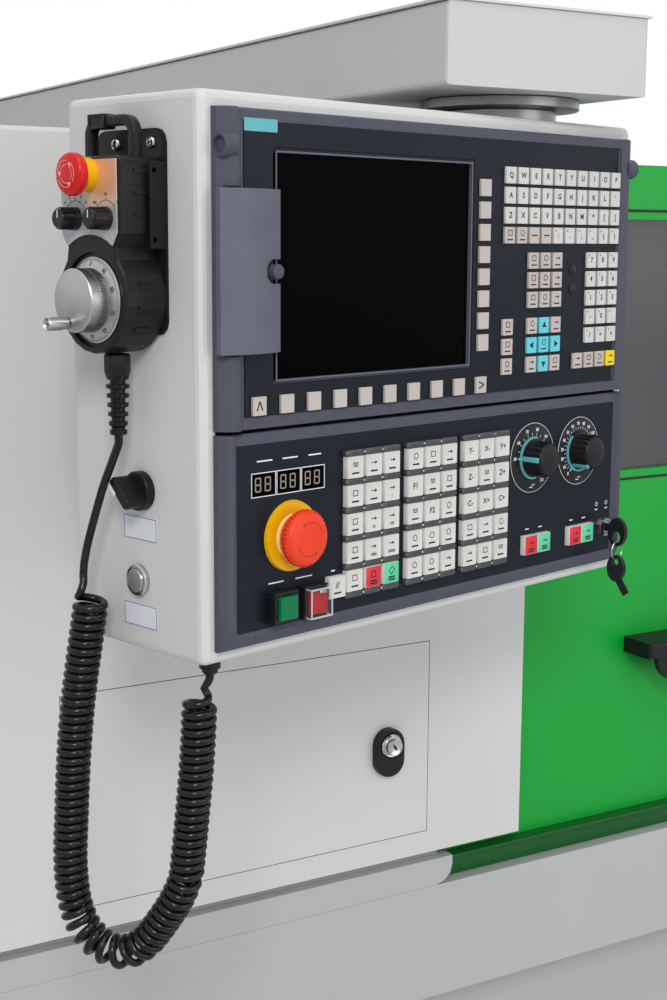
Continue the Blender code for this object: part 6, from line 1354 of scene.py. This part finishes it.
PEG, PEG_FOOT, PEG_SCREW = (WHEEL[0] - 0.0158, WHEEL[1] + 0.0068), 54.6 * MM, 69.7 * MM
peg = turned(mm((3.6, 0.1), (4.2, 0.5), (4.2, 5.0), (4.75, 5.4), (4.75, 16.4), (4.3, 17.0)), 32)
hollowed(peg, 1.1 * MM, 2.0 * MM)
finish(placed(peg, (*PEG, PEG_FOOT)), "crank_peg", "spun_aluminium", "crank_knob", "aluminium", side_board,
       stands_for=("crank_knob",))
peg_screw, peg_slots = cross_screw(2.9 * MM, 1.0 * MM)
finish(placed(peg_screw, (*PEG, PEG_SCREW)), "crank_peg_screw", "chrome", "crank_knob", "chrome",
       side_board)
finish(placed(peg_slots, (*PEG, PEG_SCREW)), "crank_peg_slots", "mark_dark", "crank_knob", "black_plastic",
       side_board, CRISP)
print("handwheel:", LINES, "lines,", len(knurls), "knurl ribs")

# %% [markdown]
# The cord leaves the unit through a cable gland: a hexagonal nut that clamps it and a ribbed, tapering
# boot that keeps it from kinking. Both are turned, the nut with only six sides, and stand in for the
# plain gland of the CAD.

# %% Gland with its boot
GLAND = (-0.029, 0.069, -0.168)
downwards = pendant_board @ Matrix.Translation(GLAND) @ Matrix.Rotation(math.pi, 4, "X")
nut = turned(mm((8.2, 0.1), (9.2, 1.0), (9.6, 2.2), (9.6, 12.6), (9.0, 14.6), (8.2, 17.4)), 6)
gland_nut = finish(softened(nut, 0.5 * MM, 2, 30), "gland_nut", "black_plastic", "pendant",
                   "black_plastic", downwards)
boot_profile = [(8.0, 16.6), (8.0, 18.4)]
for rib in range(5):
    start, wide, root = 19.0 + 6.6 * rib, 8.5 - 0.42 * rib, 5.7 - 0.2 * rib
    boot_profile += [(root, start), (root, start + 2.4), (wide, start + 3.0), (wide, start + 5.6)]
boot_profile += [(4.9, 52.6), (4.9, 54.0), (6.3, 54.3), (6.2, 57.6), (4.4, 58.4)]
boot = finish(turned(mm(*boot_profile), 32), "gland_boot", "cord_rubber", "pendant", "black_plastic",
              downwards, 25, ("cord_gland",))
print("gland and boot")

# %% [markdown]
# Some turned steel and trim is left: the swivel collar under the arm, which is a wide flange over a
# narrower bright neck, the lock of the hatch with its key slot, the rubber seal of the window, and the
# dark line of the gap round the hatch.

# %% Collar, lock and seals
upright = Matrix.Translation((SWIVEL_AXIS.x, SWIVEL_AXIS.y, 0))
collar = turned([(49.5 * MM, 1.4724), (49.5 * MM, 1.4815), (52 * MM, 1.4825), (68.9 * MM, 1.4830),
                 (69.5 * MM, 1.4838), (69.5 * MM, 1.4908), (68.9 * MM, 1.4914), (44 * MM, 1.4916),
                 (44 * MM, 1.520)], 96)
finish(collar, "collar_turned", "collar_steel", "pendant", "steel", upright, 25, ("swivel_collar",))

room_front = Matrix.Rotation(math.radians(90), 4, "X")
LOCK, LOCK_FACE = (-0.578, 0.863), 566.85 * MM
barrel = turned(mm((12.0, 550.4), (12.0, 560.6), (11.0, 562.0), (9.2, 562.4), (8.8, 566.8), (8.0, 567.6)),
                48)
hollowed(barrel, 1.6 * MM, 0.7 * MM)
finish(placed(barrel, (*LOCK, 0)), "hatch_lock_barrel", "chrome", "hatch_cylinder", "chrome", room_front,
       stands_for=("lock_cylinder",))
slot_plate = joined([block(1.6 * MM, 7.4 * MM, 0.4 * MM), block(3.0 * MM, 2.0 * MM, 0.5 * MM)])
finish(placed(slot_plate, (*LOCK, LOCK_FACE), math.radians(35)), "hatch_lock_slot", "mark_dark",
       "hatch_cylinder", "black_plastic", room_front, CRISP)

WINDOW_MIDDLE, WINDOW_SIZE = (0.005, 1.2575), (0.65, 0.295)
seal = frame_line(WINDOW_SIZE[0] + 2 * MM, WINDOW_SIZE[1] + 2 * MM, 3 * MM, 2.4 * MM,
                  (*WINDOW_MIDDLE, 0.5285))
finish(softened(seal, 0.8 * MM, 2, 60), "window_seal", "cord_rubber", "door", "black_plastic", room_front)
HATCH_MIDDLE, HATCH_SIZE = (-0.7275, 0.8615), (0.401, 0.205)
gap = frame_line(HATCH_SIZE[0] + 2.6 * MM, HATCH_SIZE[1] + 2.6 * MM, 1.6 * MM, 9 * MM,
                 (*HATCH_MIDDLE, 0.5402))
finish(gap, "hatch_seal", "mark_dark", "machine", "black_plastic", room_front)
print("collar, lock and seals")

# %% [markdown]
# The cord's length follows from its turns.

bpy.context.view_layer.update()
